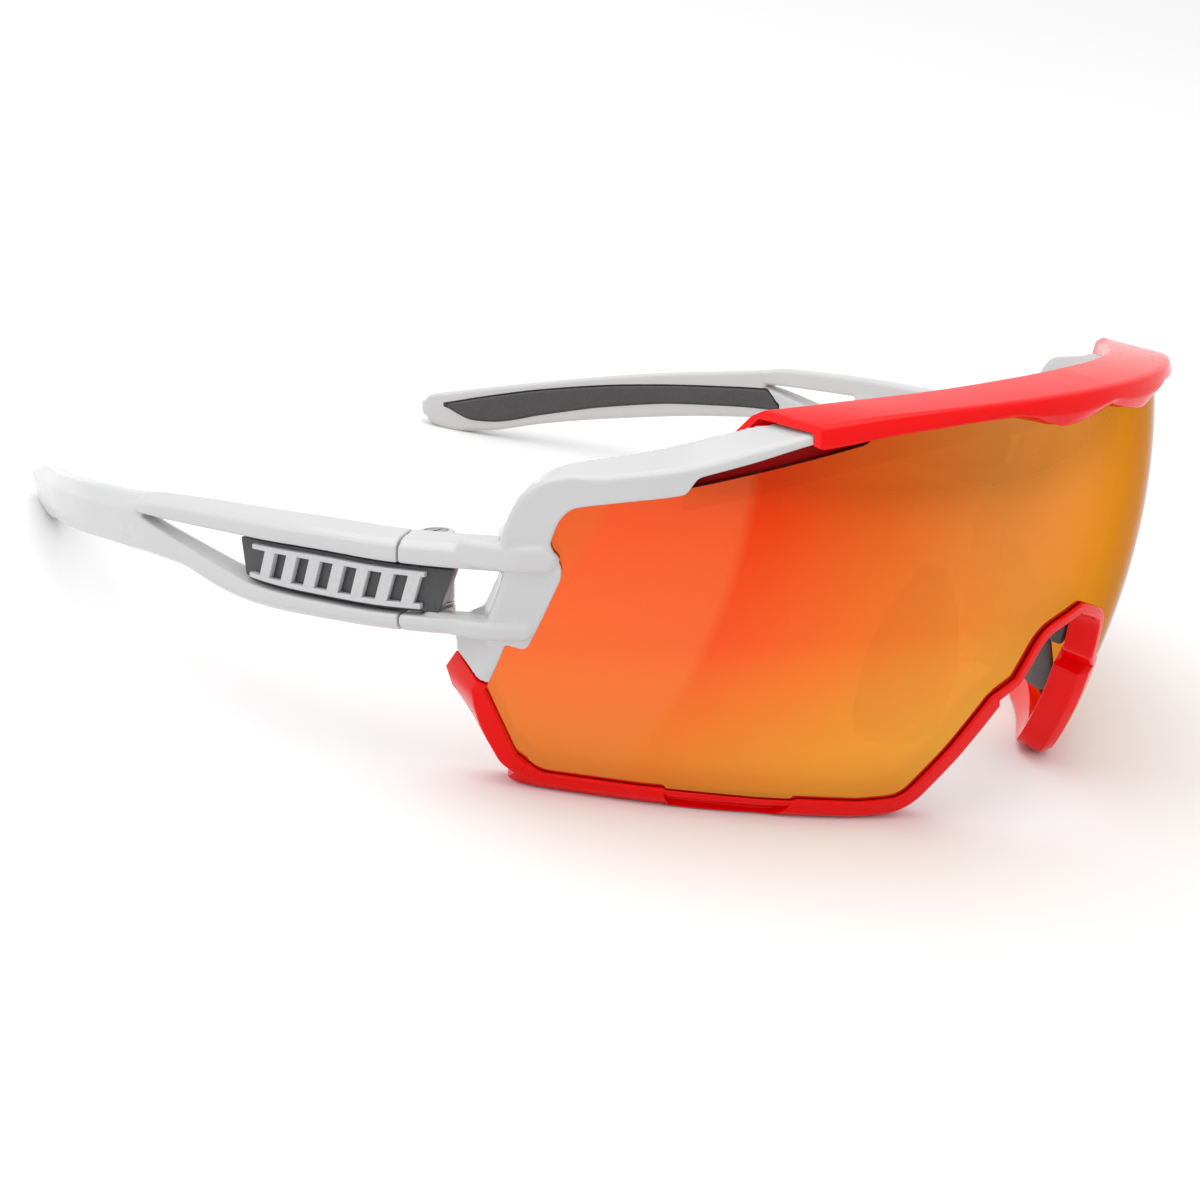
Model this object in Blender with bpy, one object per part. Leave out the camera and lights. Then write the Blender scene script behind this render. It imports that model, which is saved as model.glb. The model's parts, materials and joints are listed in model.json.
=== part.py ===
"""Wraparound sport sunglasses: one-piece shield lens, half-and-half frame, folding temples.

The shapes are laid out in the worn frame: X to the wearer's left, -Y forwards, +Z up, with the origin on
the centre plane near the top of the nose arch. Sizes are in millimetres and become metres when a mesh is
made. A root empty tips the whole object so that the lower rim and the temple tips rest on Z = 0.
"""

import math

import bmesh
import bpy
from mathutils import Vector

MM = 0.001
GAP = 0.3
SIDES = {"right": -1, "left": 1}

# Lens surface: an ellipse in plan, drawn in by a parabola above and below the crown line.
PLAN_A = 122.9
PLAN_B = 305.8
PLAN_Y = 0.5
CROWN_Z = 20.6
SAG_RADIUS = 82.1
LENS_THICKNESS = 1.8

# Lens outline, left half, as (plan x, z) corners with the radius that rounds each one.
LENS_TOP = (
    (0, 27.7, 0), (20, 27.5, 12), (34.8, 24.8, 12), (50.6, 20.1, 6), (58.6, 18.9, 1.8), (60.8, 16.2, 1.8),
    (66.2, -5.8, 0),
)
LENS_LOW = (
    (66.2, -5.8, 0), (64.3, -15.4, 3), (62.4, -18.4, 2.5), (54.6, -20.3, 12), (43.0, -22.5, 20),
    (30.8, -24.2, 12), (24.0, -24.3, 5), (18.6, -17.6, 12), (13.9, -10.6, 2), (10.2, -8.6, 1.5),
    (7.4, -2.4, 5), (0, -0.2, 0),
)
LENS_EDGE_X = 66.0

# Rims: how far they lap over the lens edge, stand in front of it and reach behind it.
LAP = 1.0
RIM_FRONT = 0.9
RIM_BACK = -4.2
RIM_CHAMFER = (0.5, 0.6)

# Rim width beyond the lens edge: by plan x along the bottom, and by height at the sides.
RIM_WIDTH = ((12.4, 0.75), (13.6, 2.2), (18, 2.5), (26, 2.5), (33, 2.6), (43, 2.9), (54, 2.6), (64, 2.0))
RIM_SIDE_WIDTH = ((-16, 2.0), (-10.5, 1.8), (-5.8, 2.7))
RIM_SIDE_X = 60.0
NOSE_RIM_X = 12.4
NOSE_RIM_WIDTH = 0.75
NOSE_RIM_BACK = -3.4

# Finger notch in the bottom rim, where the rim only touches the lens edge.
NOTCH_X = (39.0, 52.2)
NOTCH_LAP = 0.35
NOTCH_FRONT = 0.15

# Slanted joints between the white leg and the red rim.
RIM_SLIDE = 3.0
LEG_SLIDE = 2.6

# Temples: outer face in plan as (y, x), and the bars' thickness there.
TEMPLE_OUTER = (
    (38, 58.9), (41, 60.9), (45, 63.0), (50, 65.3), (55, 67.3), (65, 70.0), (80, 72.0), (98, 71.5),
    (115, 67.0), (130, 60.0), (145, 50.0), (155, 43.0),
)
TEMPLE_THICK = ((38, 4.6), (48, 5.4), (72, 5.4), (88, 4.2), (100, 3.5), (148, 3.2), (155, 2.6))
UPPER_BAR_LOW = ((38, 9.2), (59, 9.6), (72, 10.3), (84, 10.6), (104, 10.9))
UPPER_BAR_TOP = ((38, 12.6), (45, 13.0), (59, 13.2), (72, 13.7), (89, 14.0), (99, 13.9), (107, 13.0))
LOWER_BAR_LOW = ((40, 1.0), (59, 1.0), (72, 1.4), (81, 1.9), (86, 2.7), (95, 5.1), (100, 5.45), (106, 5.3))
LOWER_BAR_TOP = ((40, 3.3), (59, 3.3), (72, 3.9), (80.5, 4.7), (85, 5.9), (102.5, 10.7), (106, 11.4))
PADDLE_TOP = (
    (98, 13.9), (107, 13.0), (121, 11.9), (128, 11.2), (138, 10.0), (146.5, 8.6), (151, 7.8),
    (153.8, 7.0), (154.8, 6.3),
)
PADDLE_LOW = (
    (98, 5.4), (104, 5.3), (113, 5.0), (124, 4.2), (132, 3.5), (138, 2.8), (146, 1.5), (149.5, 1.4),
    (152.5, 2.2), (154.0, 3.1), (154.8, 3.9),
)
FORK_START = {"upper": 39.5, "lower": 42.5}
BAR_END = {"upper": 106.0, "lower": 104.0}
PADDLE_START = 101.0
TIP_END = 154.8
SUNK_IN_PADDLE = ((96, 0.0), (101, 0.15))

# Rubber grip on the paddle's inner face, by y.
GRIP_Y = (99.6, 151.6)
GRIP_TOP = ((99.6, 7.8), (102.5, 10.3), (111.7, 10.2), (125, 9.8), (138, 8.7), (146.5, 7.3), (151.6, 6.2))
GRIP_LOW = (
    (99.6, 7.0), (107, 7.2), (117, 7.1), (128, 6.2), (138, 4.6), (144.8, 3.3), (147.6, 3.5), (151.6, 5.8),
)
GRIP_SUNK = 0.7
GRIP_PROUD = 0.35

# Hinge: vertical screw just inboard of the bars, at the parting line.
HINGE_X = 62.0
HINGE_Y = 58.0
PARTING_Y = 58.6
EAR_RADIUS = 2.3
LOWER_EAR = (1.0, 3.4)
UPPER_EAR = (9.6, 12.9)
KNUCKLE = (4.1, 9.35)
KNUCKLE_RADIUS = 2.2
KNUCKLE_LINK = ((61.0, 59.4), (63.3, 57.4), (64.6, 60.0), (65.5, 63.6), (64.3, 63.9), (62.6, 61.4))
WASHER = (3.55, 3.95)
SCREW_RADIUS = 0.75
BORE_RADIUS = 0.84
BORE_HEIGHTS = (0.4, 14.5)
COVER_SCREW_X = 30.0
COVER_SCREW_DROP = 2.0
COVER_SCREW_RADIUS = 0.5
COVER_BORE_RADIUS = 0.62
COVER_SCREW_HEAD = 0.95
HEAD_RADIUS = 1.35
HEAD_POCKET = 1.6

# Badge plate between the temple's bars.
PLATE_INSET = 1.2
PLATE_THICK = 2.2
PLATE_Y = (53.0, 82.8)
PLATE_SLANT = (-2.0, 0.8)
RELIEF_INSET = (0.35, 1.0)
RELIEF_RAIL_Y = (56.5, 80.5)
RELIEF_BARS = 6
RELIEF_BAR_START = 57.4
RELIEF_BAR_PITCH = 3.9
RELIEF_BAR_WIDTH = 2.1
RELIEF_BAR_SLANT = 1.2

# Brow cover, by distance from the centre plane: front ridge, rear edge, lower edge and belt line.
BROW_RIDGE = ((0, 29.3), (10, 29.2), (20, 29.0), (31, 28.5), (40, 27.3), (45, 26.6))
BROW_REAR = ((0, 30.6), (10, 30.4), (22, 29.8), (30, 29.3), (36, 28.9), (41, 28.4), (45, 27.9))
BROW_LOW = ((0, 26.6), (4, 25.7), (9, 25.0), (13, 25.9), (18.6, 27.0), (31, 26.1), (40, 24.5), (45, 24.0))
BROW_BELT = ((0, 27.5), (7, 26.8), (13, 26.8), (18.6, 27.5), (31, 26.6), (40, 25.0), (45, 24.5))
CHIN_TUCK = ((0, 0.9), (14, 0.8), (20, 0.0))
COVER_FRONT = 2.1
COVER_REAR = ((0, -6.8), (28, -6.6), (40, -5.0), (46, -4.8))
COVER_WALL = 0.85
COVER_END = 39.4
COVER_SLANT = 2.9
COVER_TAIL = 2.2
COVER_SKIRT = 2.8

# White frame: the bar under the cover, and the exposed bar round the lens's outer corner.
BROW_BAR_END = 38.0
BROW_BAR_FRONT = -3.05
BROW_BAR_DROP = 2.4
SIDE_BAR_BACK = -3.8
SIDE_BAR = (
    # plan x, z, front face width, rear width, inner edge
    (36.0, 24.4, 2.4, 3.0, 1.2),
    (41.0, 22.9, 2.8, 3.7, 1.2),
    (45.0, 21.75, 3.0, 4.7, 1.2),
    (49.0, 20.6, 2.6, 4.7, 1.1),
    (52.0, 19.9, 2.3, 4.5, -0.9),
    (56.5, 19.2, 2.4, 4.2, -1.0),
    (59.4, 18.5, 3.2, 3.7, -1.0),
    (60.7, 16.6, 4.6, 5.4, -1.0),
    (61.5, 13.2, 4.8, 7.2, -1.0),
    (62.3, 9.8, 3.4, 4.6, -1.0),
    (63.2, 6.2, 2.5, 3.4, -1.0),
    (64.1, 2.6, 3.2, 4.2, -1.0),
    (64.9, -0.6, 4.4, 5.0, -1.0),
    (66.05, -5.2, 2.4, 3.0, -1.0),
)
LENS_ROOM_X = (51.5, 65.9)

# Dark strip behind the lens's top edge.
LINER_END = 49.0
LINER_ABOVE = 0.5
LINER_BELOW = 3.2
LINER_DEPTHS = (-2.15, -2.75)

# Nose: saddle path as (plan x, z, corner radius), and a pad's pivot, directions and leaf outline.
CARRIER_PATH = ((10.4, -8.8, 0), (7.4, -2.4, 6), (0, -0.2, 0))
CARRIER_SECTION = ((-2.6, -3.8), (0.6, -3.8), (0.9, -5.4), (-2.2, -6.2))
PAD_PIVOT = (9.4, 12.0, -6.5)
PAD_UP = (-0.30, 0.05, 0.95)
PAD_BACK = (0.50, 0.86, 0.1)
PAD_OFFSET = 8.4
PAD_LEAN = 0.10
PAD_ROWS = (
    # height, half width, thickness
    (-10.5, 2.6, 0.9), (-9.3, 4.2, 1.3), (-6.0, 5.3, 1.7), (-1.5, 5.7, 1.8), (3.5, 4.7, 1.6),
    (8.0, 3.2, 1.3), (11.0, 1.6, 0.8),
)
WIRE_RADIUS = 0.45

# Where the object rests: lowest rim point and temple tip, as (y, z), and how much is trimmed flat there.
RIM_FOOT = (19.0, -26.6)
TIP_FOOT = (148.5, 1.55)
FOOT_TRIM = 0.25
PITCH = math.atan2(TIP_FOOT[1] - RIM_FOOT[1], TIP_FOOT[0] - RIM_FOOT[0])

COLOURS = {
    "white": ((0.86, 0.86, 0.87), 0.16, 0.0),
    "red": ((0.80, 0.01, 0.01), 0.14, 0.0),
    "dark_red": ((0.30, 0.005, 0.005), 0.4, 0.0),
    "lens": ((0.92, 0.30, 0.06), 0.05, 0.6),
    "black": ((0.03, 0.03, 0.03), 0.5, 0.0),
    "rubber": ((0.055, 0.055, 0.058), 0.65, 0.0),
    "charcoal": ((0.06, 0.06, 0.062), 0.4, 0.0),
    "silver": ((0.55, 0.55, 0.56), 0.3, 0.4),
    "steel": ((0.5, 0.5, 0.52), 0.3, 1.0),
}


def clear_scene():
    for old in list(bpy.data.objects):
        bpy.data.objects.remove(old, do_unlink=True)


def material(name):
    """A Principled material, made once for each colour."""
    found = bpy.data.materials.get(name)
    if found:
        return found
    colour, roughness, metallic = COLOURS[name]
    made = bpy.data.materials.new(name)
    made.use_nodes = True
    shader = made.node_tree.nodes["Principled BSDF"]
    shader.inputs["Base Color"].default_value = (*colour, 1.0)
    shader.inputs["Roughness"].default_value = roughness
    shader.inputs["Metallic"].default_value = metallic
    made.diffuse_color = (*colour, 1.0)
    return made


def smooth_value(knots, at):
    """Value at one place of a smooth curve through (place, value) knots, flat beyond both ends."""
    if at <= knots[0][0]:
        return knots[0][1]
    if at >= knots[-1][0]:
        return knots[-1][1]
    i = max(k for k in range(len(knots) - 1) if knots[k][0] <= at)
    slopes = [(b[1] - a[1]) / (b[0] - a[0]) for a, b in zip(knots, knots[1:])]

    def tangent(k):
        if k == 0:
            return slopes[0]
        if k == len(slopes):
            return slopes[-1]
        if slopes[k - 1] * slopes[k] <= 0:
            return 0.0
        return 2 * slopes[k - 1] * slopes[k] / (slopes[k - 1] + slopes[k])

    span = knots[i + 1][0] - knots[i][0]
    t = (at - knots[i][0]) / span
    start, end = knots[i][1], knots[i + 1][1]
    return (
        start * (2 * t**3 - 3 * t**2 + 1)
        + span * tangent(i) * (t**3 - 2 * t**2 + t)
        + end * (3 * t**2 - 2 * t**3)
        + span * tangent(i + 1) * (t**3 - t**2)
    )


def spread(start, end, steps):
    return [start + (end - start) * i / steps for i in range(steps + 1)]


def lens_frame(x, z):
    """Point of the lens's front surface, and the outward normal there."""
    t = math.asin(x / PLAN_A)
    out = Vector((PLAN_B * math.sin(t), -PLAN_A * math.cos(t), 0)).normalized()
    drawn_in = (z - CROWN_Z) ** 2 / (2 * SAG_RADIUS)
    point = Vector((x, PLAN_Y + PLAN_B * (1 - math.cos(t)), z)) - out * drawn_in
    normal = (out + Vector((0, 0, (z - CROWN_Z) / SAG_RADIUS))).normalized()
    return point, normal


def rounded(corners, step=4.0):
    """(x, z) polyline with each corner rounded by an arc, and long runs divided."""
    points = [Vector(corners[0][:2])]
    for before, corner, after in zip(corners, corners[1:], corners[2:]):
        here = Vector(corner[:2])
        to_before = (Vector(before[:2]) - here)
        to_after = (Vector(after[:2]) - here)
        angle = to_before.angle(to_after)
        cut = min(corner[2] / math.tan(angle / 2), 0.45 * to_before.length, 0.45 * to_after.length)
        start = here + to_before.normalized() * cut
        end = here + to_after.normalized() * cut
        turns = max(2, round((math.pi - angle) / math.radians(14)))
        for i in range(turns + 1):
            t = i / turns
            points.append(start * (1 - t) ** 2 + here * 2 * t * (1 - t) + end * t**2)
    points.append(Vector(corners[-1][:2]))
    path = [points[0]]
    for point in points[1:]:
        run = (point - path[-1]).length
        if run < 0.05:
            continue
        start = path[-1]
        pieces = max(1, math.ceil(run / step))
        path += [start.lerp(point, (i + 1) / pieces) for i in range(pieces)]
    return path


def height_on(path, x):
    """Height of a path whose x values rise or fall steadily, at one x."""
    for a, b in zip(path, path[1:]):
        if min(a.x, b.x) <= x <= max(a.x, b.x) and a.x != b.x:
            return a.y + (b.y - a.y) * (x - a.x) / (b.x - a.x)
    return path[0].y if abs(x - path[0].x) < abs(x - path[-1].x) else path[-1].y


def rail(path, outwards):
    """Stations along a path on the lens: point, direction along, direction away from the lens, normal."""
    frames = [lens_frame(p.x, p.y) for p in path]
    stations = []
    for i, (point, normal) in enumerate(frames):
        ahead = frames[min(i + 1, len(frames) - 1)][0]
        behind = frames[max(i - 1, 0)][0]
        along = (ahead - behind).normalized()
        away = along.cross(normal).normalized() * outwards
        stations.append((point, along, away, normal))
    return stations


def loft(rings):
    """Closed mesh through rings of points, with an end face on the first and the last."""
    mesh = bmesh.new()
    rows = [[mesh.verts.new(Vector(p) * MM) for p in ring] for ring in rings]
    count = len(rings[0])
    for a, b in zip(rows, rows[1:]):
        for i in range(count):
            j = (i + 1) % count
            mesh.faces.new((a[i], a[j], b[j], b[i]))
    mesh.faces.new(rows[0][::-1])
    mesh.faces.new(rows[-1])
    bmesh.ops.recalc_face_normals(mesh, faces=mesh.faces)
    return mesh


def cylinder(radius, low, high, x, y, sides=24):
    rings = []
    for z in (low, high):
        ring = []
        for i in range(sides):
            turn = 2 * math.pi * i / sides
            ring.append((x + radius * math.cos(turn), y + radius * math.sin(turn), z))
        rings.append(ring)
    return loft(rings)


def mirrored(mesh, side):
    """The same mesh on the given side of the centre plane."""
    if side < 0:
        bmesh.ops.scale(mesh, vec=(-1, 1, 1), verts=mesh.verts)
        bmesh.ops.recalc_face_normals(mesh, faces=mesh.faces)
    return mesh


def new_object(name, mesh, colour, parent, sharp=35):
    """An object in the worn frame, under a parent empty that may stand on a joint's axis."""
    if parent.parent:
        bmesh.ops.translate(mesh, vec=-parent.location, verts=mesh.verts)
    data = bpy.data.meshes.new(name)
    mesh.to_mesh(data)
    mesh.free()
    data.materials.append(material(colour))
    data.shade_smooth()
    data.set_sharp_from_angle(angle=math.radians(sharp))
    made = bpy.data.objects.new(name, data)
    made.parent = parent
    bpy.context.scene.collection.objects.link(made)
    return made


def combine(target, mesh, operation, parent):
    """Adds a hidden helper and a Boolean on the target: UNION or DIFFERENCE."""
    name = f"{target.name}_{operation.lower()}_{len(target.modifiers) + 1}"
    helper = new_object(name, mesh, "black", parent)
    helper.hide_render = True
    helper.display_type = "WIRE"
    modifier = target.modifiers.new(name, "BOOLEAN")
    modifier.operation = operation
    modifier.solver = "EXACT"
    modifier.object = helper


def empty(name, location, parent=None):
    made = bpy.data.objects.new(name, None)
    made.location = Vector(location) * MM
    made.parent = parent
    bpy.context.scene.collection.objects.link(made)
    return made


# ---------------------------------------------------------------- lens and rims

TOP_PATH = rounded(LENS_TOP)
LOW_PATH = rounded(LENS_LOW)


def shield_lens(root):
    closest = 0.6
    half = sorted({round(p.x, 3) for p in TOP_PATH + LOW_PATH if p.x < LENS_EDGE_X - closest})
    kept = [0.0]
    for x in half + [LENS_EDGE_X]:
        if x - kept[-1] > closest:
            kept.append(x)
    columns = [-x for x in reversed(kept[1:])] + kept
    rows = 6
    mesh = bmesh.new()
    sheets = []
    for depth in (0.0, -LENS_THICKNESS):
        sheet = []
        for x in columns:
            low = height_on(LOW_PATH, abs(x))
            high = height_on(TOP_PATH, abs(x))
            column = []
            for z in spread(low, high, rows):
                point, normal = lens_frame(x, z)
                column.append(mesh.verts.new((point + normal * depth) * MM))
            sheet.append(column)
        sheets.append(sheet)
    for sheet in sheets:
        for a, b in zip(sheet, sheet[1:]):
            for i in range(rows):
                mesh.faces.new((a[i], a[i + 1], b[i + 1], b[i]))
    front, back = sheets
    for i in range(len(columns) - 1):
        for j in (0, rows):
            mesh.faces.new((front[i][j], front[i + 1][j], back[i + 1][j], back[i][j]))
    for i in (0, -1):
        for j in range(rows):
            mesh.faces.new((front[i][j], front[i][j + 1], back[i][j + 1], back[i][j]))
    bmesh.ops.recalc_face_normals(mesh, faces=mesh.faces)
    return new_object("shield_lens", mesh, "lens", root, sharp=50)


def grooved(lap, front, width, rear_width, back):
    """Rim section as (away from lens, normal): a groove round the lens edge, with a chamfered front."""
    behind = -LENS_THICKNESS - GAP
    floor = max(GAP, lap + 0.05)
    return (
        (lap, GAP),
        (lap + 0.25, front),
        (width - RIM_CHAMFER[0], front),
        (width, front - RIM_CHAMFER[1]),
        (rear_width, back),
        (lap + 0.1, back),
        (lap + 0.1, behind),
        (floor + 0.1, behind),
        (floor, GAP),
    )


def ring_at(station, section, shear=0.0):
    """One ring of a sweep, its outer side slid along the path by shear at the section's full width."""
    point, along, away, normal = station
    reach = max(e for e, _ in section) + LAP
    return [point + away * e + normal * n + along * shear * (e + LAP) / reach for e, n in section]


def rim_width(x, z):
    """Rim width beyond the lens edge: broad at the sides, thin over the nose arch."""
    if x < NOSE_RIM_X:
        return NOSE_RIM_WIDTH
    if z > RIM_SIDE_WIDTH[0][0] and x > RIM_SIDE_X:
        return smooth_value(RIM_SIDE_WIDTH, z)
    return smooth_value(RIM_WIDTH, x)


def lower_rim(root):
    path = LOW_PATH + [Vector((-p.x, p.y)) for p in reversed(LOW_PATH[:-1])]
    stations = rail(path, -1)
    rings = []
    for p, station in zip(path, stations):
        x = abs(p.x)
        width = rim_width(x, p.y)
        lap, front = -LAP, RIM_FRONT
        if NOTCH_X[0] < x < NOTCH_X[1]:
            lap, front = NOTCH_LAP, NOTCH_FRONT
        back = RIM_BACK if x > NOSE_RIM_X else NOSE_RIM_BACK
        shear = {0: -RIM_SLIDE, len(path) - 1: RIM_SLIDE}.get(len(rings), 0)
        rings.append(ring_at(station, grooved(lap, front, width, width + 0.25, back), shear))
    rim = new_object("lower_rim", loft(rings), "red", root)
    combine(rim, foot_cutter(), "DIFFERENCE", root)
    return rim


def foot_cutter():
    """A slab under the resting plane, which trims the rim and the temple tips flat."""
    along = Vector((0, math.cos(PITCH), math.sin(PITCH)))
    up = Vector((0, -math.sin(PITCH), math.cos(PITCH)))
    foot = Vector((0, *RIM_FOOT)) + up * FOOT_TRIM
    half, depth = 80, -4
    rings = []
    for y in (-30, 150):
        corners = ((-half, 0), (half, 0), (half, depth), (-half, depth))
        rings.append([foot + along * y + up * z + Vector((x, 0, 0)) for x, z in corners])
    return loft(rings)


# ---------------------------------------------------------------- upper frame

def side_bar():
    """Left half of the exposed frame: along the brow, round the corner and down to the leg."""
    knots = list(range(len(SIDE_BAR)))
    path, widths = [], []
    for at in spread(0, len(SIDE_BAR) - 1, 3 * (len(SIDE_BAR) - 1)):
        values = [smooth_value([(k, SIDE_BAR[k][column]) for k in knots], at) for column in range(5)]
        path.append(Vector(values[:2]))
        widths.append(values[2:])
    rings = []
    stations = rail(path, -1)
    for i, (station, (front_width, rear_width, inner)) in enumerate(zip(stations, widths)):
        section = grooved(inner, RIM_FRONT, front_width, rear_width, SIDE_BAR_BACK)
        rings.append(ring_at(station, section, -LEG_SLIDE if i == len(stations) - 1 else 0))
    return loft(rings)


def brow_bar():
    """Straight-through bar behind the lens's top edge, hidden by the cover."""
    rings = []
    for x in spread(-BROW_BAR_END, BROW_BAR_END, 24):
        top = smooth_value(BROW_REAR, abs(x)) - COVER_WALL - GAP
        low = height_on(TOP_PATH, abs(x)) - BROW_BAR_DROP
        rear = smooth_value(COVER_REAR, abs(x)) + COVER_WALL + GAP
        section = ((BROW_BAR_FRONT, low), (BROW_BAR_FRONT, top - 0.5), (rear, top), (rear, low))
        rings.append([brow_point(x, n, z) for n, z in section])
    return loft(rings)


def brow_point(x, n, z):
    """A point at a horizontal distance n in front of the lens's plan curve."""
    t = math.asin(x / PLAN_A)
    out = Vector((PLAN_B * math.sin(t), -PLAN_A * math.cos(t), 0)).normalized()
    drawn_in = (z - CROWN_Z) ** 2 / (2 * SAG_RADIUS)
    return Vector((x, PLAN_Y + PLAN_B * (1 - math.cos(t)), z)) + out * (n - drawn_in)


def arm_frame(y):
    """Outer face point of an arm at one y, with its unit directions along and outwards."""
    x = smooth_value(TEMPLE_OUTER, y)
    slope = (smooth_value(TEMPLE_OUTER, y + 0.1) - smooth_value(TEMPLE_OUTER, y - 0.1)) / 0.2
    along = Vector((slope, 1, 0)).normalized()
    return Vector((x, y, 0)), along, Vector((along.y, -along.x, 0))


def bar_ring(y, inner, outer, low, high, chamfer_top, chamfer_low):
    """Section of a bar: inset inner and outer faces, with the outer edges chamfered."""
    point, _, out = arm_frame(y)
    section = (
        (outer, low + chamfer_low),
        (outer, high - chamfer_top),
        (outer + 1.2, high - 0.35 * chamfer_top),
        (inner - 1.0, high),
        (inner, high - 0.4),
        (inner, low + 0.2),
        (outer + 1.2, low),
    )
    return [point - out * inset + Vector((0, 0, z)) for inset, z in section]


def upper_bar(start, end, steps):
    rings = []
    for y in spread(start, end, steps):
        thick = smooth_value(TEMPLE_THICK, y)
        low = smooth_value(UPPER_BAR_LOW, y)
        sunk = smooth_value(SUNK_IN_PADDLE, y)
        rings.append(bar_ring(y, thick - sunk, sunk, low, smooth_value(UPPER_BAR_TOP, y) - sunk, 1.4, 0.1))
    return loft(rings)


def bottom_bar(start, end, steps):
    rings = []
    for y in spread(start, end, steps):
        thick = smooth_value(TEMPLE_THICK, y)
        low = smooth_value(LOWER_BAR_LOW, y)
        sunk = smooth_value(SUNK_IN_PADDLE, y)
        rings.append(bar_ring(y, thick - sunk, sunk, low + sunk, smooth_value(LOWER_BAR_TOP, y), 0.1, 0.9))
    return loft(rings)


def front_frame(root):
    frame = new_object("front_frame", brow_bar(), "white", root)
    for side in SIDES.values():
        combine(frame, mirrored(side_bar(), side), "UNION", root)
        combine(frame, mirrored(upper_bar(FORK_START["upper"], PARTING_Y, 5), side), "UNION", root)
        combine(frame, mirrored(bottom_bar(FORK_START["lower"], PARTING_Y, 4), side), "UNION", root)
        for low, high in (LOWER_EAR, UPPER_EAR):
            ear = cylinder(EAR_RADIUS, low, high, HINGE_X, HINGE_Y)
            combine(frame, mirrored(ear, side), "UNION", root)
        bore = cylinder(BORE_RADIUS, *BORE_HEIGHTS, HINGE_X, HINGE_Y)
        combine(frame, mirrored(bore, side), "DIFFERENCE", root)
        pocket = cylinder(HEAD_POCKET, UPPER_EAR[1] - 0.9, BORE_HEIGHTS[1], HINGE_X, HINGE_Y)
        combine(frame, mirrored(pocket, side), "DIFFERENCE", root)
        combine(frame, mirrored(lens_clearance(), side), "DIFFERENCE", root)
    return frame


def lens_clearance():
    """The lens's outer corner with a gap all round, cut from the end piece where the fork laps over it."""
    rings = []
    room = GAP + 0.03
    for x in spread(*LENS_ROOM_X, 9):
        low = height_on(LOW_PATH, x) + 0.6
        high = height_on(TOP_PATH, x) + room
        upwards = spread(low, high, 8)
        ring = []
        for depth, heights in ((room, upwards), (-LENS_THICKNESS - room, upwards[::-1])):
            for z in heights:
                point, normal = lens_frame(x, z)
                ring.append(point + normal * depth)
        rings.append(ring)
    return loft(rings)


def brow_cover(root):
    rings = []
    for x in spread(-COVER_END, COVER_END, 48):
        at = abs(x)
        ridge, rear = smooth_value(BROW_RIDGE, at), smooth_value(BROW_REAR, at)
        low, belt = smooth_value(BROW_LOW, at), smooth_value(BROW_BELT, at)
        back = smooth_value(COVER_REAR, at)
        tuck = smooth_value(CHIN_TUCK, at)
        section = (
            (COVER_FRONT - tuck, low),
            (COVER_FRONT + 0.2, belt),
            (COVER_FRONT, ridge - 0.3),
            (COVER_FRONT - 0.6, ridge),
            (back + 0.8, rear),
            (back, rear - 0.8),
            (back, rear - COVER_SKIRT),
            (back + COVER_WALL, rear - COVER_SKIRT),
            (back + COVER_WALL, rear - COVER_WALL),
            (COVER_FRONT - COVER_WALL, ridge - COVER_WALL),
            (COVER_FRONT - COVER_WALL - tuck, low + 0.3),
        )
        ring = []
        for n, z in section:
            slant = COVER_SLANT * (COVER_FRONT - n) / (COVER_FRONT - back)
            slant += COVER_TAIL * max(0, rear - z) / COVER_SKIRT * (n < back + 1)
            ring.append(brow_point(x * (1 + slant / COVER_END), n, z))
        rings.append(ring)
    return new_object("brow_cover", loft(rings), "red", root)


def brow_liner(root):
    """Thin strip behind the lens's top edge, from one vent slot to the other."""
    front, back = LINER_DEPTHS
    rings = []
    for x in spread(-LINER_END, LINER_END, 28):
        edge = height_on(TOP_PATH, abs(x))
        low, high = edge - LINER_BELOW, edge + LINER_ABOVE
        section = ((front, low), (front, high), (back, high), (back, low))
        rings.append([brow_point(x, n, z) for n, z in section])
    return new_object("brow_liner", loft(rings), "dark_red", root)


# ---------------------------------------------------------------- nose

def nose_carrier(root):
    """Saddle behind the nose arch: follows the lens's notch at a little distance."""
    half = rounded(CARRIER_PATH)
    path = half + [Vector((-p.x, p.y)) for p in reversed(half[:-1])]
    rings = [ring_at(station, CARRIER_SECTION) for station in rail(path, -1)]
    return new_object("nose_carrier", loft(rings), "black", root)


def pad_frame(side):
    """Pad plane: pivot point, direction backwards, direction up, and the normal towards the nose."""
    pivot = Vector(PAD_PIVOT)
    up = Vector(PAD_UP).normalized()
    back = Vector(PAD_BACK)
    back = (back - up * back.dot(up)).normalized()
    inward = up.cross(back).normalized()
    return [Vector((v.x * side, v.y, v.z)) for v in (pivot, back, up, inward)]


def nose_pad(name, side, parent):
    """A leaf-shaped pad, thick in the middle, in the pad's own plane."""
    pivot, back, up, inward = pad_frame(side)
    sides = 14
    rings = []
    for height, half_width, thick in PAD_ROWS:
        centre = pivot + up * height + back * (PAD_OFFSET - PAD_LEAN * height) - inward * 0.4
        ring = []
        for i in range(sides):
            turn = 2 * math.pi * i / sides
            ring.append(centre + back * half_width * math.cos(turn) + inward * thick * 0.6 * math.sin(turn))
        rings.append(ring)
    return new_object(name, loft(rings), "rubber", parent, sharp=60)


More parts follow.
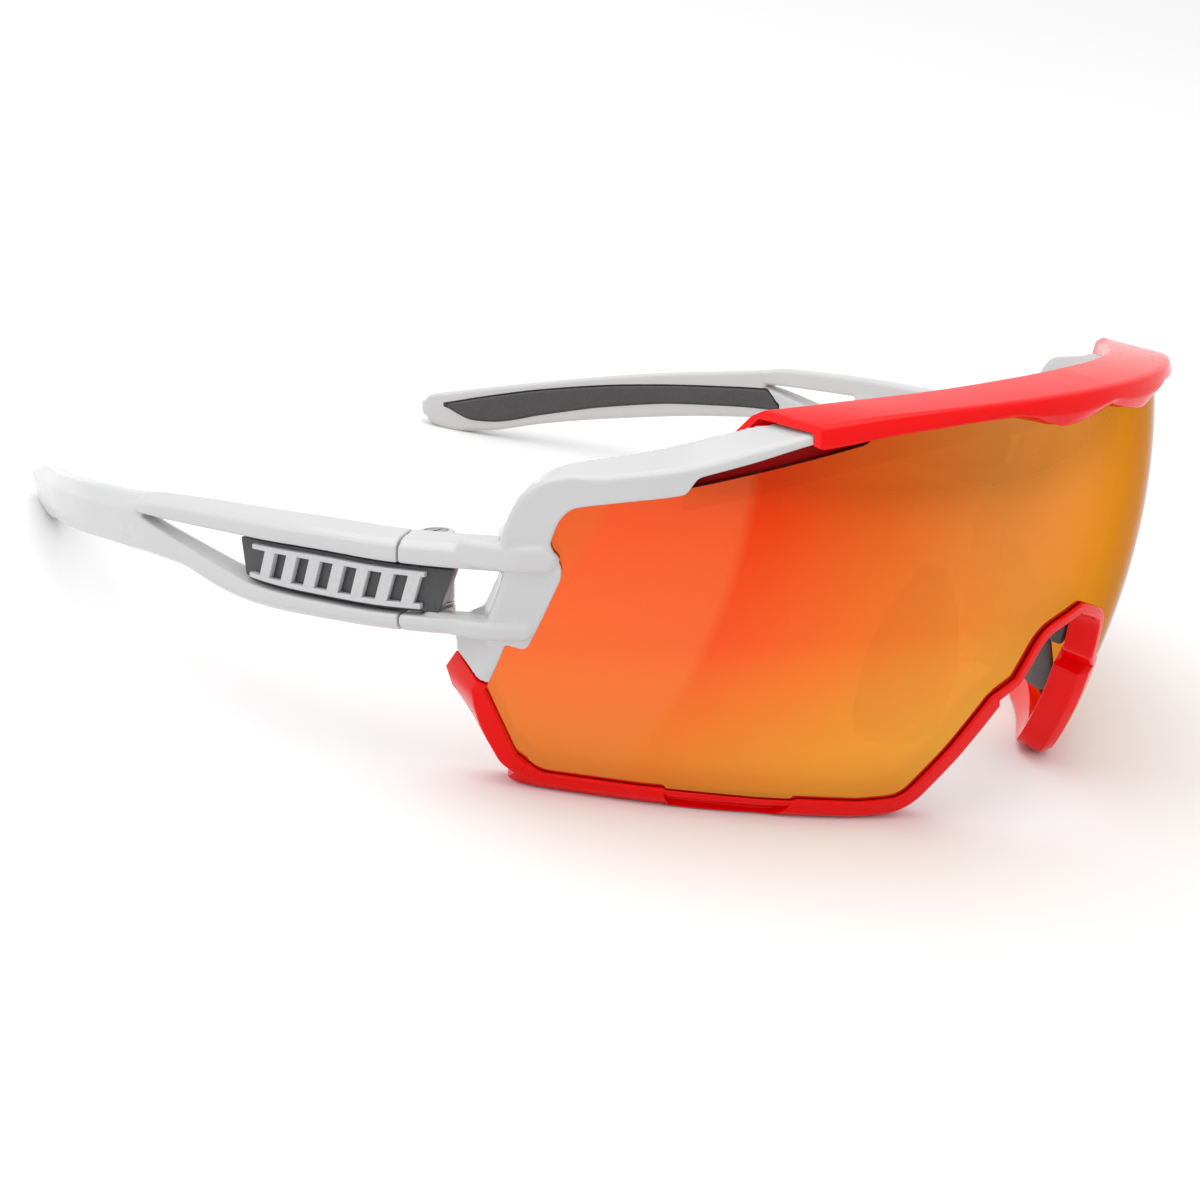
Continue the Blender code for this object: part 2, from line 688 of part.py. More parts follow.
def pad_wire(name, side, parent):
    """Bendable core from the carrier to the pad's back."""
    pivot, back, up, inward = pad_frame(side)
    sides = 8
    rings = []
    for t in spread(0, 1, 4):
        centre = pivot + back * (0.4 + 2.0 * t) - inward * (2.4 - 0.8 * t)
        ring = []
        for k in range(sides):
            turn = 2 * math.pi * k / sides
            ring.append(centre + (up * math.cos(turn) + inward * math.sin(turn)) * WIRE_RADIUS)
        rings.append(ring)
    return new_object(name, loft(rings), "steel", parent)


# ---------------------------------------------------------------- temples

def paddle():
    """Solid rear end of a temple, from the window's rear corner to the tip."""
    rings = []
    for y in spread(PADDLE_START, TIP_END, 16):
        thick = smooth_value(TEMPLE_THICK, y)
        high = smooth_value(PADDLE_TOP, y)
        low = smooth_value(PADDLE_LOW, y)
        point, _, out = arm_frame(y)
        tall = high - low
        section = (
            (0.35, low + 0.30 * tall),
            (0.0, low + 0.74 * tall),
            (1.3, high - 0.03 * tall),
            (thick - 0.4, high),
            (thick, high - 0.06 * tall),
            (thick, low + 0.08 * tall),
            (thick - 0.5, low),
            (1.2, low + 0.04 * tall),
        )
        rings.append([point - out * inset + Vector((0, 0, z)) for inset, z in section])
    return loft(rings)


def temple_web():
    """Thin wall behind the badge plate, which carries the plate and the hinge knuckle."""
    rings = []
    for y in spread(PARTING_Y + 0.3, PLATE_Y[1] + 1.2, 6):
        point, _, out = arm_frame(y)
        outer = PLATE_INSET + PLATE_THICK + GAP
        inner = smooth_value(TEMPLE_THICK, y) + 0.1
        low = smooth_value(LOWER_BAR_TOP, y) - 0.4
        high = smooth_value(UPPER_BAR_LOW, y) + 0.4
        if y < 60.5:
            low, high = KNUCKLE
        corners = ((outer, low), (outer, high), (inner, high), (inner, low))
        rings.append([point - out * inset + Vector((0, 0, z)) for inset, z in corners])
    return loft(rings)


def knuckle_link():
    """Short block that joins the knuckle to the web behind the badge plate."""
    low, high = KNUCKLE
    return loft([[(x, y, z) for x, y in KNUCKLE_LINK] for z in (low + 0.05, high - 0.05)])


def grip_mesh(margin, proud):
    """Rubber grip on a temple's inner face, or the pocket for it when there is a margin."""
    rings = []
    for y in spread(GRIP_Y[0] - margin, GRIP_Y[1] + margin, 18):
        point, _, out = arm_frame(y)
        face = smooth_value(TEMPLE_THICK, y)
        depth = face - GRIP_SUNK - margin
        high = smooth_value(GRIP_TOP, y) + margin
        low = smooth_value(GRIP_LOW, y) - margin
        section = ((depth, low), (depth, high), (face + proud, high - 0.2), (face + proud, low + 0.2))
        rings.append([point - out * inset + Vector((0, 0, z)) for inset, z in section])
    return loft(rings)


def temple(name, side, pivot, root):
    start = PARTING_Y + GAP
    arm = new_object(name, mirrored(upper_bar(start, BAR_END["upper"], 14), side), "white", pivot)
    combine(arm, mirrored(bottom_bar(start, BAR_END["lower"], 14), side), "UNION", pivot)
    combine(arm, mirrored(paddle(), side), "UNION", pivot)
    combine(arm, mirrored(temple_web(), side), "UNION", pivot)
    combine(arm, mirrored(cylinder(KNUCKLE_RADIUS, *KNUCKLE, HINGE_X, HINGE_Y), side), "UNION", pivot)
    combine(arm, mirrored(knuckle_link(), side), "UNION", pivot)
    lower_pocket = (LOWER_EAR[0] - 0.6, LOWER_EAR[1] + GAP)
    upper_pocket = (UPPER_EAR[0] - 0.25, UPPER_EAR[1] + 1.5)
    for heights in (lower_pocket, upper_pocket):
        pocket = cylinder(EAR_RADIUS + GAP, *heights, HINGE_X, HINGE_Y)
        combine(arm, mirrored(pocket, side), "DIFFERENCE", pivot)
    bore = cylinder(BORE_RADIUS, *BORE_HEIGHTS, HINGE_X, HINGE_Y)
    combine(arm, mirrored(bore, side), "DIFFERENCE", pivot)
    combine(arm, mirrored(grip_mesh(GAP, 2.0), side), "DIFFERENCE", pivot)
    combine(arm, foot_cutter(), "DIFFERENCE", pivot)
    return arm


def plate_edges(y):
    low = smooth_value(LOWER_BAR_TOP, y) + GAP
    high = smooth_value(UPPER_BAR_LOW, y) - GAP
    return low, high


def badge_plate(name, side, pivot):
    back = PLATE_INSET + PLATE_THICK
    rings = []
    for t in spread(0, 1, 8):
        ring = []
        for inset, level in ((PLATE_INSET, 0), (PLATE_INSET, 1), (back, 1), (back, 0)):
            start = PLATE_Y[0] + PLATE_SLANT[0] * (level - 0.5)
            end = PLATE_Y[1] + PLATE_SLANT[1] * (level - 0.5)
            y = start + (end - start) * t
            point, _, out = arm_frame(y)
            ring.append(point - out * inset + Vector((0, 0, plate_edges(y)[level])))
        rings.append(ring)
    return new_object(name, mirrored(loft(rings), side), "charcoal", pivot)


def badge_relief(name, side, pivot):
    """Generic raised relief: a rail along the plate's lower edge that carries slanted bars."""
    front, back = RELIEF_INSET

    def bar(start, end, low, high, slant):
        rings = []
        for t in spread(0, 1, 4):
            ring = []
            for inset, level in ((front, 0), (front, 1), (back, 1), (back, 0)):
                y = start + (end - start) * t - slant * level
                point, _, out = arm_frame(y)
                bottom, top = plate_edges(y)
                height = bottom + (low + (high - low) * level) * (top - bottom)
                ring.append(point - out * inset + Vector((0, 0, height)))
            rings.append(ring)
        return loft(rings)

    relief = new_object(name, mirrored(bar(*RELIEF_RAIL_Y, 0.12, 0.26, 0.0), side), "silver", pivot)
    for i in range(RELIEF_BARS):
        start = RELIEF_BAR_START + RELIEF_BAR_PITCH * i
        upright = bar(start, start + RELIEF_BAR_WIDTH, 0.18, 0.86, RELIEF_BAR_SLANT)
        combine(relief, mirrored(upright, side), "UNION", pivot)
    return relief


def hinge_screw(name, side, root):
    x = HINGE_X * side
    head_low = UPPER_EAR[1] - 0.8
    shank = cylinder(SCREW_RADIUS, LOWER_EAR[0] + 0.2, head_low + 0.2, x, HINGE_Y, 16)
    screw = new_object(name, shank, "steel", root)
    combine(screw, cylinder(HEAD_RADIUS, head_low, UPPER_EAR[1] - 0.05, x, HINGE_Y, 20), "UNION", root)
    return screw


def hinge_washer(name, side, root):
    x = HINGE_X * side
    washer = new_object(name, cylinder(EAR_RADIUS - 0.1, *WASHER, x, HINGE_Y, 20), "steel", root)
    hole = cylinder(BORE_RADIUS, WASHER[0] - 1, WASHER[1] + 1, x, HINGE_Y, 20)
    combine(washer, hole, "DIFFERENCE", root)
    return washer


def rod(start, direction, radius, low, high):
    """A round rod about a line through start, between two distances along it."""
    turn = Vector((0, 0, 1)).rotation_difference(direction).to_matrix()
    sides = 12
    rings = []
    for reach in (low, high):
        ring = []
        for k in range(sides):
            angle = 2 * math.pi * k / sides
            ring.append(start + turn @ Vector((radius * math.cos(angle), radius * math.sin(angle), reach)))
        rings.append(ring)
    return loft(rings)


def cover_screw_line():
    """Where the left cover screw enters the cover's rear wall, and its direction forwards."""
    x = COVER_SCREW_X
    back = smooth_value(COVER_REAR, x)
    z = smooth_value(BROW_REAR, x) - COVER_SCREW_DROP
    start = brow_point(x, back, z)
    return start, (brow_point(x, back + 1, z) - start).normalized()


def cover_screw(name, side, root):
    start, forwards = cover_screw_line()
    shank = rod(start, forwards, COVER_SCREW_RADIUS, -0.5, 2.2)
    screw = new_object(name, mirrored(shank, side), "steel", root)
    combine(screw, mirrored(rod(start, forwards, COVER_SCREW_HEAD, -0.9, -0.35), side), "UNION", root)
    return screw


def add_bore(part, line, radius, low, high, root):
    """The same bore on both sides of a part."""
    start, direction = line
    for side in SIDES.values():
        combine(part, mirrored(rod(start, direction, radius, low, high), side), "DIFFERENCE", root)


def stand_on_floor(root):
    """Tips the worn frame so that rim and temple tips rest on Z = 0, centred over the origin."""
    root.rotation_euler.x = -PITCH
    up = Vector((0, -math.sin(PITCH), math.cos(PITCH)))
    root.location.z = -(Vector((0, *RIM_FOOT)).dot(up) + FOOT_TRIM) * MM
    bpy.context.view_layer.update()
    graph = bpy.context.evaluated_depsgraph_get()
    reach = []
    for part in bpy.context.scene.objects:
        if part.type == "MESH" and not part.hide_render:
            shape = part.evaluated_get(graph)
            reach += [(shape.matrix_world @ v.co).y for v in shape.data.vertices]
    root.location.y = -(min(reach) + max(reach)) / 2


def build():
    clear_scene()
    root = empty("sunglasses", (0, 0, 0))
    frame = front_frame(root)
    shield_lens(root)
    lower_rim(root)
    cover = brow_cover(root)
    for part in (frame, cover):
        add_bore(part, cover_screw_line(), COVER_BORE_RADIUS, -1.5, 2.5, root)
    brow_liner(root)
    nose_carrier(root)
    for name, side in SIDES.items():
        pivot = empty(f"{name}_temple_pivot", Vector((HINGE_X * side, HINGE_Y, 0)), root)
        temple(f"temple_{name}", side, pivot, root)
        badge_plate(f"badge_plate_{name}", side, pivot)
        badge_relief(f"badge_relief_{name}", side, pivot)
        new_object(f"temple_grip_{name}", mirrored(grip_mesh(0.0, GRIP_PROUD), side), "rubber", pivot)
        hinge_screw(f"hinge_screw_{name}", side, root)
        hinge_washer(f"hinge_washer_{name}", side, root)
        cover_screw(f"cover_screw_{name}", side, root)
        pad_pivot = empty(f"{name}_pad_pivot", Vector((PAD_PIVOT[0] * side, *PAD_PIVOT[1:])), root)
        nose_pad(f"nose_pad_{name}", side, pad_pivot)
        pad_wire(f"pad_wire_{name}", side, pad_pivot)
    stand_on_floor(root)


build()
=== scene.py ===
"""Looks of the wraparound sport sunglasses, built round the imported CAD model.

Shapes are laid out in the worn frame, in millimetres: X to the wearer's left, -Y forwards, +Z up,
with the origin on the centre plane near the top of the nose arch. The hinge of the left temple says
how that frame stands in the CAD frame, where everything is in metres.
"""

import json
import math

import bmesh
import bpy
from mathutils import Matrix, Vector


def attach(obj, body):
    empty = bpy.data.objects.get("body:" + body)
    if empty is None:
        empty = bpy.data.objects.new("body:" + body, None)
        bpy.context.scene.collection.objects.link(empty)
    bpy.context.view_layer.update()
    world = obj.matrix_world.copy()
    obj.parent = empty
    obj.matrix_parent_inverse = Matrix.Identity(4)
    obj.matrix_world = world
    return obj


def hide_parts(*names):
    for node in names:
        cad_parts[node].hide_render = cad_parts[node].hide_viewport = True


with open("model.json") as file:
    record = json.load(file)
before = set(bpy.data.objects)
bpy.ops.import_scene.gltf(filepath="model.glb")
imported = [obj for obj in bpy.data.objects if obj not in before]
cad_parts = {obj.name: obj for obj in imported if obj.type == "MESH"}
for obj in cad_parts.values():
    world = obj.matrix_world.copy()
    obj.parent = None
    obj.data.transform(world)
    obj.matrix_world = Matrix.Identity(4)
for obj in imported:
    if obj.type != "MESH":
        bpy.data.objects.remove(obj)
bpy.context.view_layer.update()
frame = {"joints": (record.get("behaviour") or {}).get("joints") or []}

MM = 0.001
GAP = 0.3
SIDES = {"right": -1, "left": 1}

# Lens surface: an ellipse in plan, drawn in by a parabola above and below the crown line.
PLAN_A = 122.9
PLAN_B = 305.8
PLAN_Y = 0.5
CROWN_Z = 20.6
SAG_RADIUS = 82.1
LENS_THICKNESS = 1.8

# Lens outline, left half, as (plan x, z) corners with the radius that rounds each one.
LENS_TOP = (
    (0, 27.7, 0), (20, 27.5, 12), (34.8, 24.8, 12), (50.6, 20.1, 6), (58.6, 18.9, 1.8), (60.8, 16.2, 1.8),
    (66.2, -5.8, 0),
)
LENS_LOW = (
    (66.2, -5.8, 0), (64.3, -15.4, 3), (62.4, -18.4, 2.5), (54.6, -20.3, 12), (43.0, -22.5, 20),
    (30.8, -24.2, 12), (24.0, -24.3, 5), (18.6, -17.6, 12), (13.9, -10.6, 2), (10.2, -8.6, 1.5),
    (7.4, -2.4, 5), (0, -0.2, 0),
)
LENS_EDGE_X = 66.0
# Straight side edge: plan x and height of its upper end, and how far it runs out over its drop.
SIDE_EDGE = (60.8, 16.2)
SIDE_EDGE_RUN = 5.4
SIDE_EDGE_DROP = 22
# How far the sheet's edges stay inside the outline, and how far its top edge rises behind the cover.
EDGE_EASE = 0.12
BEHIND_COVER = ((33.0, 1.3), (34.8, 0.0))
SHEET_ROWS = 36
COLUMN_STEP = 0.25

# Rims: how far they lap over the lens edge, stand in front of it and reach behind it.
LAP = 1.0
RIM_FRONT = 0.9
RIM_BACK = -4.2

# Temples: outer face in plan as (y, x), and the bars' thickness there.
TEMPLE_OUTER = (
    (38, 58.9), (41, 60.9), (45, 63.0), (50, 65.3), (55, 67.3), (65, 70.0), (80, 72.0), (98, 71.5),
    (115, 67.0), (130, 60.0), (145, 50.0), (155, 43.0),
)
TEMPLE_THICK = ((38, 4.6), (48, 5.4), (72, 5.4), (88, 4.2), (100, 3.5), (148, 3.2), (155, 2.6))
UPPER_BAR_LOW = ((38, 9.2), (59, 9.6), (72, 10.3), (84, 10.6), (104, 10.9))
UPPER_BAR_TOP = ((38, 12.6), (45, 13.0), (59, 13.2), (72, 13.7), (89, 14.0), (99, 13.9), (107, 13.0))
LOWER_BAR_LOW = ((40, 1.0), (59, 1.0), (72, 1.4), (81, 1.9), (86, 2.7), (95, 5.1), (100, 5.45), (106, 5.3))
LOWER_BAR_TOP = ((40, 3.3), (59, 3.3), (72, 3.9), (80.5, 4.7), (85, 5.9), (102.5, 10.7), (106, 11.4))
UPPER_BAR_Y = (41.5, 106.0)
LOWER_BAR_Y = (44.5, 104.0)
# Each bar's edges, the chamfers of its upper and lower outer edges, and the radius of its corners.
UPPER_BAR = (UPPER_BAR_LOW, UPPER_BAR_TOP, 1.4, 0.1, 0.35)
LOWER_BAR = (LOWER_BAR_LOW, LOWER_BAR_TOP, 0.1, 0.9, 0.3)
PADDLE_START = 102.4
TIP_END = 154.8
TIP_ROUNDING = 0.75
PADDLE_TOP = (
    (98, 13.9), (107, 13.0), (121, 11.9), (128, 11.2), (138, 10.0), (146.5, 8.8), (151, 8.1),
    (153.4, 7.65), (TIP_END, 6.8),
)
PADDLE_LOW = (
    (98, 5.4), (104, 5.3), (113, 5.0), (124, 4.2), (132, 3.5), (138, 2.8), (146, 1.5), (149.5, 1.4),
    (152.0, 1.9), (153.8, 3.0), (TIP_END, 4.1),
)
SUNK_IN_PADDLE = ((98, 0.0), (PADDLE_START, 0.15))

# Rubber grip on a temple's inner face: its length, its edges, how deep it is let in and stands proud.
GRIP_Y = (99.6, 151.6)
GRIP_TOP = ((99.6, 7.8), (102.5, 10.3), (111.7, 10.2), (125, 9.8), (138, 8.7), (146.5, 7.3), (151.6, 6.2))
GRIP_LOW = (
    (99.6, 7.0), (107, 7.2), (117, 7.1), (128, 6.2), (138, 4.6), (144.8, 3.3), (147.6, 3.5), (151.6, 5.8),
)
GRIP_DEPTH = 0.7
GRIP_PROUD = 0.35
GRIP_EDGE = 0.2
GRIP_CORNER = 0.3
POCKET_MARGIN = GAP - 0.1
POCKET_PROUD = 2.0

# Hinge: vertical screw just inboard of the bars, at the parting line.
HINGE_X = 62.0
HINGE_Y = 58.0
PARTING_Y = 58.6
EAR_RADIUS = 2.3
LOWER_EAR = (1.0, 3.4)
UPPER_EAR = (9.6, 12.9)
# Room for each ear in the temple, from below it to above it.
EAR_ROOM = ((LOWER_EAR[0] - 0.6, LOWER_EAR[1] + GAP), (UPPER_EAR[0] - 0.25, UPPER_EAR[1] + 1.5))
KNUCKLE = (4.1, 9.35)
KNUCKLE_RADIUS = 2.2
KNUCKLE_LINK = ((61.0, 59.4), (63.3, 57.4), (64.6, 60.0), (65.5, 63.6), (64.3, 63.9), (62.6, 61.4))
# Web behind the badge plate: it starts as high as the knuckle, and laps over the bars after that.
WEB_NECK_END = 60.5
WEB_LAP = 0.4
WASHER = (3.55, 3.95)
SCREW_RADIUS = 0.75
BORE_RADIUS = 0.84
BORE_Z = (0.4, 14.5)
HEAD_RADIUS = 1.35
HEAD_Z = (UPPER_EAR[1] - 0.8, UPPER_EAR[1] - 0.05)
HEAD_POCKET = 1.6
HEAD_POCKET_DEPTH = 0.9
DRIVER_SLOT_DEPTH = 0.4
DRIVER_SLOT_HALF_WIDTH = 0.17

# Cover screws: place on the cover's rear wall, and a domed head's (radius, reach) profile with its shank.
COVER_SCREW_X = 30.0
COVER_SCREW_DROP = 2.0
COVER_SCREW_RADIUS = 0.5
COVER_SCREW_HEAD = 0.95
COVER_SCREW_PROFILE = (
    (0.3 * COVER_SCREW_HEAD, -0.9), (0.75 * COVER_SCREW_HEAD, -0.8), (COVER_SCREW_HEAD, -0.55),
    (COVER_SCREW_HEAD, -0.35), (COVER_SCREW_RADIUS, -0.35), (COVER_SCREW_RADIUS, 2.2),
)

# Badge plate between the temple's bars.
PLATE_INSET = 1.2
PLATE_THICK = 2.2
PLATE_Y = (53.0, 82.8)
# How much longer the plate's lower edge is than its upper one, at the front and at the rear.
PLATE_SLANT = (2.0, 0.8)
# Relief: two rails as (start, end, low, high), and slanted slats. Levels are parts of the plate's height.
RELIEF_FACE = 0.35
RELIEF_ROOT = PLATE_INSET + 0.3
RAILS = ((56.0, 81.0, 0.08, 0.20), (55.4, 80.4, 0.80, 0.92))
SLATS = 7
FIRST_SLAT = 57.0
SLAT_PITCH = 3.45
SLAT_WIDTH = 1.6
SLAT_LEVELS = (0.14, 0.86)
SLAT_SLANT = 1.2

# Upper frame and cover
BROW_RIDGE = ((0, 29.3), (10, 29.2), (20, 29.0), (31, 28.5), (40, 27.3), (45, 26.6))
BROW_REAR = ((0, 30.6), (10, 30.4), (22, 29.8), (30, 29.3), (36, 28.9), (41, 28.4), (45, 27.9))
BROW_LOW = ((0, 26.6), (4, 25.7), (9, 25.0), (13, 25.9), (18.6, 27.0), (31, 26.1), (40, 24.5), (45, 24.0))
BROW_BELT = ((0, 27.5), (7, 26.8), (13, 26.8), (18.6, 27.5), (31, 26.6), (40, 25.0), (45, 24.5))
COVER_FRONT = 2.1
COVER_REAR = ((0, -6.8), (28, -6.6), (40, -5.0), (46, -4.8))
COVER_WALL = 0.85
COVER_END = 39.4
COVER_SLANT = 5.0
COVER_TAIL = 2.2
COVER_SKIRT = 2.8
CHIN_TUCK = ((0, 0.9), (14, 0.8), (20, 0.0))
BROW_BAR_FRONT = -3.05
BROW_BAR_END = 38.0
BROW_BAR_DROP = 2.4
# Liner strip: its end, how far it rises and drops from the lens's edge, and its two faces.
LINER_END = 51.0
LINER_RISE = 1.7
LINER_DROP = 3.2
LINER_FACES = (-2.15, -2.75)

# Exposed frame: plan x, z, width of its front face, and width at the rear.
SIDE_BAR = (
    (36.0, 24.4, 3.2, 4.2), (41.0, 22.9, 3.1, 4.6), (45.0, 21.75, 2.9, 5.0), (49.0, 20.6, 2.6, 4.8),
    (52.0, 19.9, 2.5, 4.5), (56.5, 19.2, 2.5, 4.0), (59.4, 18.5, 3.4, 3.8), (60.7, 16.6, 4.7, 4.2),
    (61.5, 13.2, 5.0, 4.6), (61.9, 11.6, 4.4, 5.3), (62.3, 9.8, 3.4, 4.0), (63.2, 6.2, 2.6, 3.2),
    (64.1, 2.6, 2.4, 3.2), (64.6, 0.8, 1.8, 4.5), (64.9, -0.6, 1.0, 6.0), (65.86, -4.45, 0.9, 4.0),
)
# Inner edge of the exposed frame: by plan x along the brow, and by height at the side, where it laps
# further over the lens between the fork's bars.
BROW_INNER = ((36, 1.9), (41, 1.7), (45, 1.3), (49.6, 0.9), (51.2, -0.9), (56, -1.0))
SIDE_INNER = ((0.7, -1.0), (1.05, -3.1), (1.7, -3.6), (10.0, -3.8), (11.3, -3.5), (13.6, -1.0))
CORNER_X = 58
BAR_ROW_STEPS = 12
BAR_BACK = -3.8
# Front ends of the fork's bars: how far over the lens each reaches, and its lower and upper edges.
TONGUE_END = 5.5
TONGUES = (
    (-1.75, ((-1.75, 10.1), (-1.3, 9.8)), ((-1.75, 11.6), (-0.3, 13.1))),
    (-2.2, ((-2.2, 1.4), (-1.6, 1.1)), ((-2.2, 3.0), (-1.6, 3.3))),
)
BAR_CHAMFER = (0.5, 0.5)
# Part of the lens's outer corner that the fork's bars are cut clear of.
CLEARANCE_X = (51.5, 65.9)
CLEARANCE_RISE = 0.6

# Rim beside the lens's lower edge: where its front face ends, and how far it reaches at the back.
RIM_START = (65.93, -4.7)
SIDE_RIM_X = 60
STEP_Z = -16.8
SIDE_RIDGE = ((-16.6, 1.1), (-14, 1.3), (-11, 1.5), (-8, 1.2), (-6, 0.7), (-4.7, 0.4))
SIDE_REAR = ((-16.6, 3.1), (-14, 3.4), (-11, 3.8), (-8, 4.3), (-6, 4.7), (-4.7, 4.0))
BOTTOM_WIDTH = ((13.4, 2.3), (18, 2.6), (26, 2.7), (33, 2.8), (43, 3.0), (54, 2.8), (60, 2.9), (64, 3.2))
BOTTOM_RIDGE = ((13.4, 1.5), (18, 1.4), (30, 1.3), (39, 1.1), (52, 0.5), (60, 0.5), (64, 0.7))
NOSE_STEP_X = 13.4
LIP_GAP = 0.1
BOTTOM_FRONT = 0.6
BOTTOM_CHAMFER = 1.1
SIDE_CHAMFER = (0.3, 0.4)
ARCH_FRONT = 0.7
ARCH_WIDTH = (0.6, 0.9)
ARCH_BACK = -3.4
ARCH_CHAMFER = (0.3, 0.3)
# Finger notches: plan x of their ends, how far each end leans along the rim, and over what distance.
NOTCH_X = (39.0, 52.2)
NOTCH_LEAN = (0.75, -0.3)
NOTCH_LEAN_RUN = 5.0
CHANNEL_FLOOR = -0.8
# Slab taken off below the standing surface, as world (x, z) corners and half its depth.
FOOT_SLAB = ((-80, 0.02), (80, 0.02), (80, -4), (-80, -4))
FOOT_SLAB_REACH = 110

# Nose pads: pivot, plane directions, and the leaf's half width, thickness and set-back by height.
PAD_PIVOT = (9.4, 12.0, -6.5)
PAD_UP = (-0.30, 0.05, 0.95)
PAD_BACK = (0.50, 0.86, 0.1)
PAD_END = (-12.3, 11.0)
PAD_HALF_WIDTH = ((-12.3, 2.4), (-11.0, 4.3), (-7.0, 5.7), (-1.5, 5.9), (3.5, 4.8), (8.0, 3.2), (11.0, 1.6))
PAD_THICKNESS = ((-12.3, 0.7), (-11.0, 1.2), (-7.0, 1.7), (-1.5, 1.8), (3.5, 1.6), (8.0, 1.3), (11.0, 0.8))
PAD_SET_BACK = ((-12.3, 10.8), (-6.0, 9.2), (11.0, 7.3))
PAD_SHIFT = 0.4
PAD_FULLNESS = 0.6
# Pad wire: radius, and where it starts and ends backwards of the pivot and away from the nose.
WIRE_RADIUS = 0.45
WIRE_BACK = (0.4, 2.0)
WIRE_OUT = (2.4, 0.8)
CARRIER_PATH = ((10.4, -8.8, 0), (7.4, -2.4, 6), (0, -0.2, 0))
CARRIER_SECTION = ((-2.6, -3.8), (0.6, -3.8), (0.9, -5.4), (-2.2, -6.2))

# Camera: turn to the wearer's right and rise, in degrees, place along its own right, up and back, lens.
CAMERA_TURN = 51.2
CAMERA_RISE = 12.8
CAMERA_PLACE = (-63.9, 1.3, 395.5)
CAMERA_LENS = 92.85
FLOOR_REACH = 3.0
FLOOR_LEVEL = -0.0002


# ---- frames and meshes

def worn_to_world():
    """The worn frame's place in the CAD frame, from the left temple's hinge."""
    hinge = next(j for j in frame["joints"] if j["name"] == "left_temple_fold")
    up = Vector(hinge["axis"]).normalized()
    back = up.cross(Vector((1, 0, 0))).normalized()
    turn = Matrix(((1, 0, 0), back, up)).transposed()
    offset = Vector(hinge["pos_m"]) - turn @ (Vector((HINGE_X, HINGE_Y, 0)) * MM)
    return Matrix.Translation(offset) @ turn.to_4x4()


WORN = worn_to_world()


def curve(knots, at):
    """Value at one place of a smooth curve through (place, value) knots, flat beyond both ends."""
    if at <= knots[0][0]:
        return knots[0][1]
    if at >= knots[-1][0]:
        return knots[-1][1]
    i = max(k for k in range(len(knots) - 1) if knots[k][0] <= at)
    slopes = [(b[1] - a[1]) / (b[0] - a[0]) for a, b in zip(knots, knots[1:])]

    def tangent(k):
        if k in (0, len(slopes)):
            return slopes[0 if k == 0 else -1]
        if slopes[k - 1] * slopes[k] <= 0:
            return 0.0
        return 2 * slopes[k - 1] * slopes[k] / (slopes[k - 1] + slopes[k])

    span = knots[i + 1][0] - knots[i][0]
    t = (at - knots[i][0]) / span
    start, end = knots[i][1], knots[i + 1][1]
    return (
        start * (2 * t**3 - 3 * t**2 + 1)
        + span * tangent(i) * (t**3 - 2 * t**2 + t)
        + end * (3 * t**2 - 2 * t**3)
        + span * tangent(i + 1) * (t**3 - t**2)
    )


def spread(start, end, steps):
    return [start + (end - start) * i / steps for i in range(steps + 1)]


def plan_frame(x, z):
    """Point of the plan curve at a height, the direction out of it, and how far the lens is drawn in."""
    t = math.asin(x / PLAN_A)
    out = Vector((PLAN_B * math.sin(t), -PLAN_A * math.cos(t), 0)).normalized()
    drawn_in = (z - CROWN_Z) ** 2 / (2 * SAG_RADIUS)
    return Vector((x, PLAN_Y + PLAN_B * (1 - math.cos(t)), z)), out, drawn_in


def lens_frame(x, z):
    """Point of the lens's front surface, and the outward normal there."""
    plan_point, out, drawn_in = plan_frame(x, z)
    normal = (out + Vector((0, 0, (z - CROWN_Z) / SAG_RADIUS))).normalized()
    return plan_point - out * drawn_in, normal


def lens_point(x, z, proud):
    """A point at a distance in front of the lens, along its normal."""
    point, normal = lens_frame(x, z)
    return point + normal * proud


def brow_point(x, n, z):
    """A point at a horizontal distance n in front of the lens."""
    plan_point, out, drawn_in = plan_frame(x, z)
    return plan_point + out * (n - drawn_in)


def arc(here, to_before, to_after, cut, steps):
    """Points of the curve that rounds one corner."""
    start = here + to_before.normalized() * cut
    end = here + to_after.normalized() * cut
    return [start * (1 - t) ** 2 + here * 2 * t * (1 - t) + end * t**2 for t in spread(0, 1, steps)]


def rounded(corners, step=1.0, arc_degrees=5):
    """(x, z) polyline with each corner rounded by an arc, and long runs divided."""
    points = [Vector(corners[0][:2])]
    for before, corner, after in zip(corners, corners[1:], corners[2:]):
        here = Vector(corner[:2])
        to_before = Vector(before[:2]) - here
        to_after = Vector(after[:2]) - here
        angle = to_before.angle(to_after)
        cut = min(corner[2] / math.tan(angle / 2), 0.45 * to_before.length, 0.45 * to_after.length)
        steps = max(3, round((math.pi - angle) / math.radians(arc_degrees)))
        points += arc(here, to_before, to_after, cut, steps)
    points.append(Vector(corners[-1][:2]))
    path = [points[0]]
    for point in points[1:]:
        run = (point - path[-1]).length
        if run < 0.02:
            continue
        start = path[-1]
        pieces = max(1, math.ceil(run / step))
        path += [start.lerp(point, (i + 1) / pieces) for i in range(pieces)]
    return path


def height_on(path, x):
    """Height of a path whose x values rise or fall steadily, at one x."""
    for a, b in zip(path, path[1:]):
        if min(a.x, b.x) <= x <= max(a.x, b.x) and a.x != b.x:
            return a.y + (b.y - a.y) * (x - a.x) / (b.x - a.x)
    return path[0].y if abs(x - path[0].x) < abs(x - path[-1].x) else path[-1].y


def both_halves(half):
    """A left half path, carried on to the right side as its mirror image."""
    return half + [Vector((-p.x, p.y)) for p in reversed(half[:-1])]


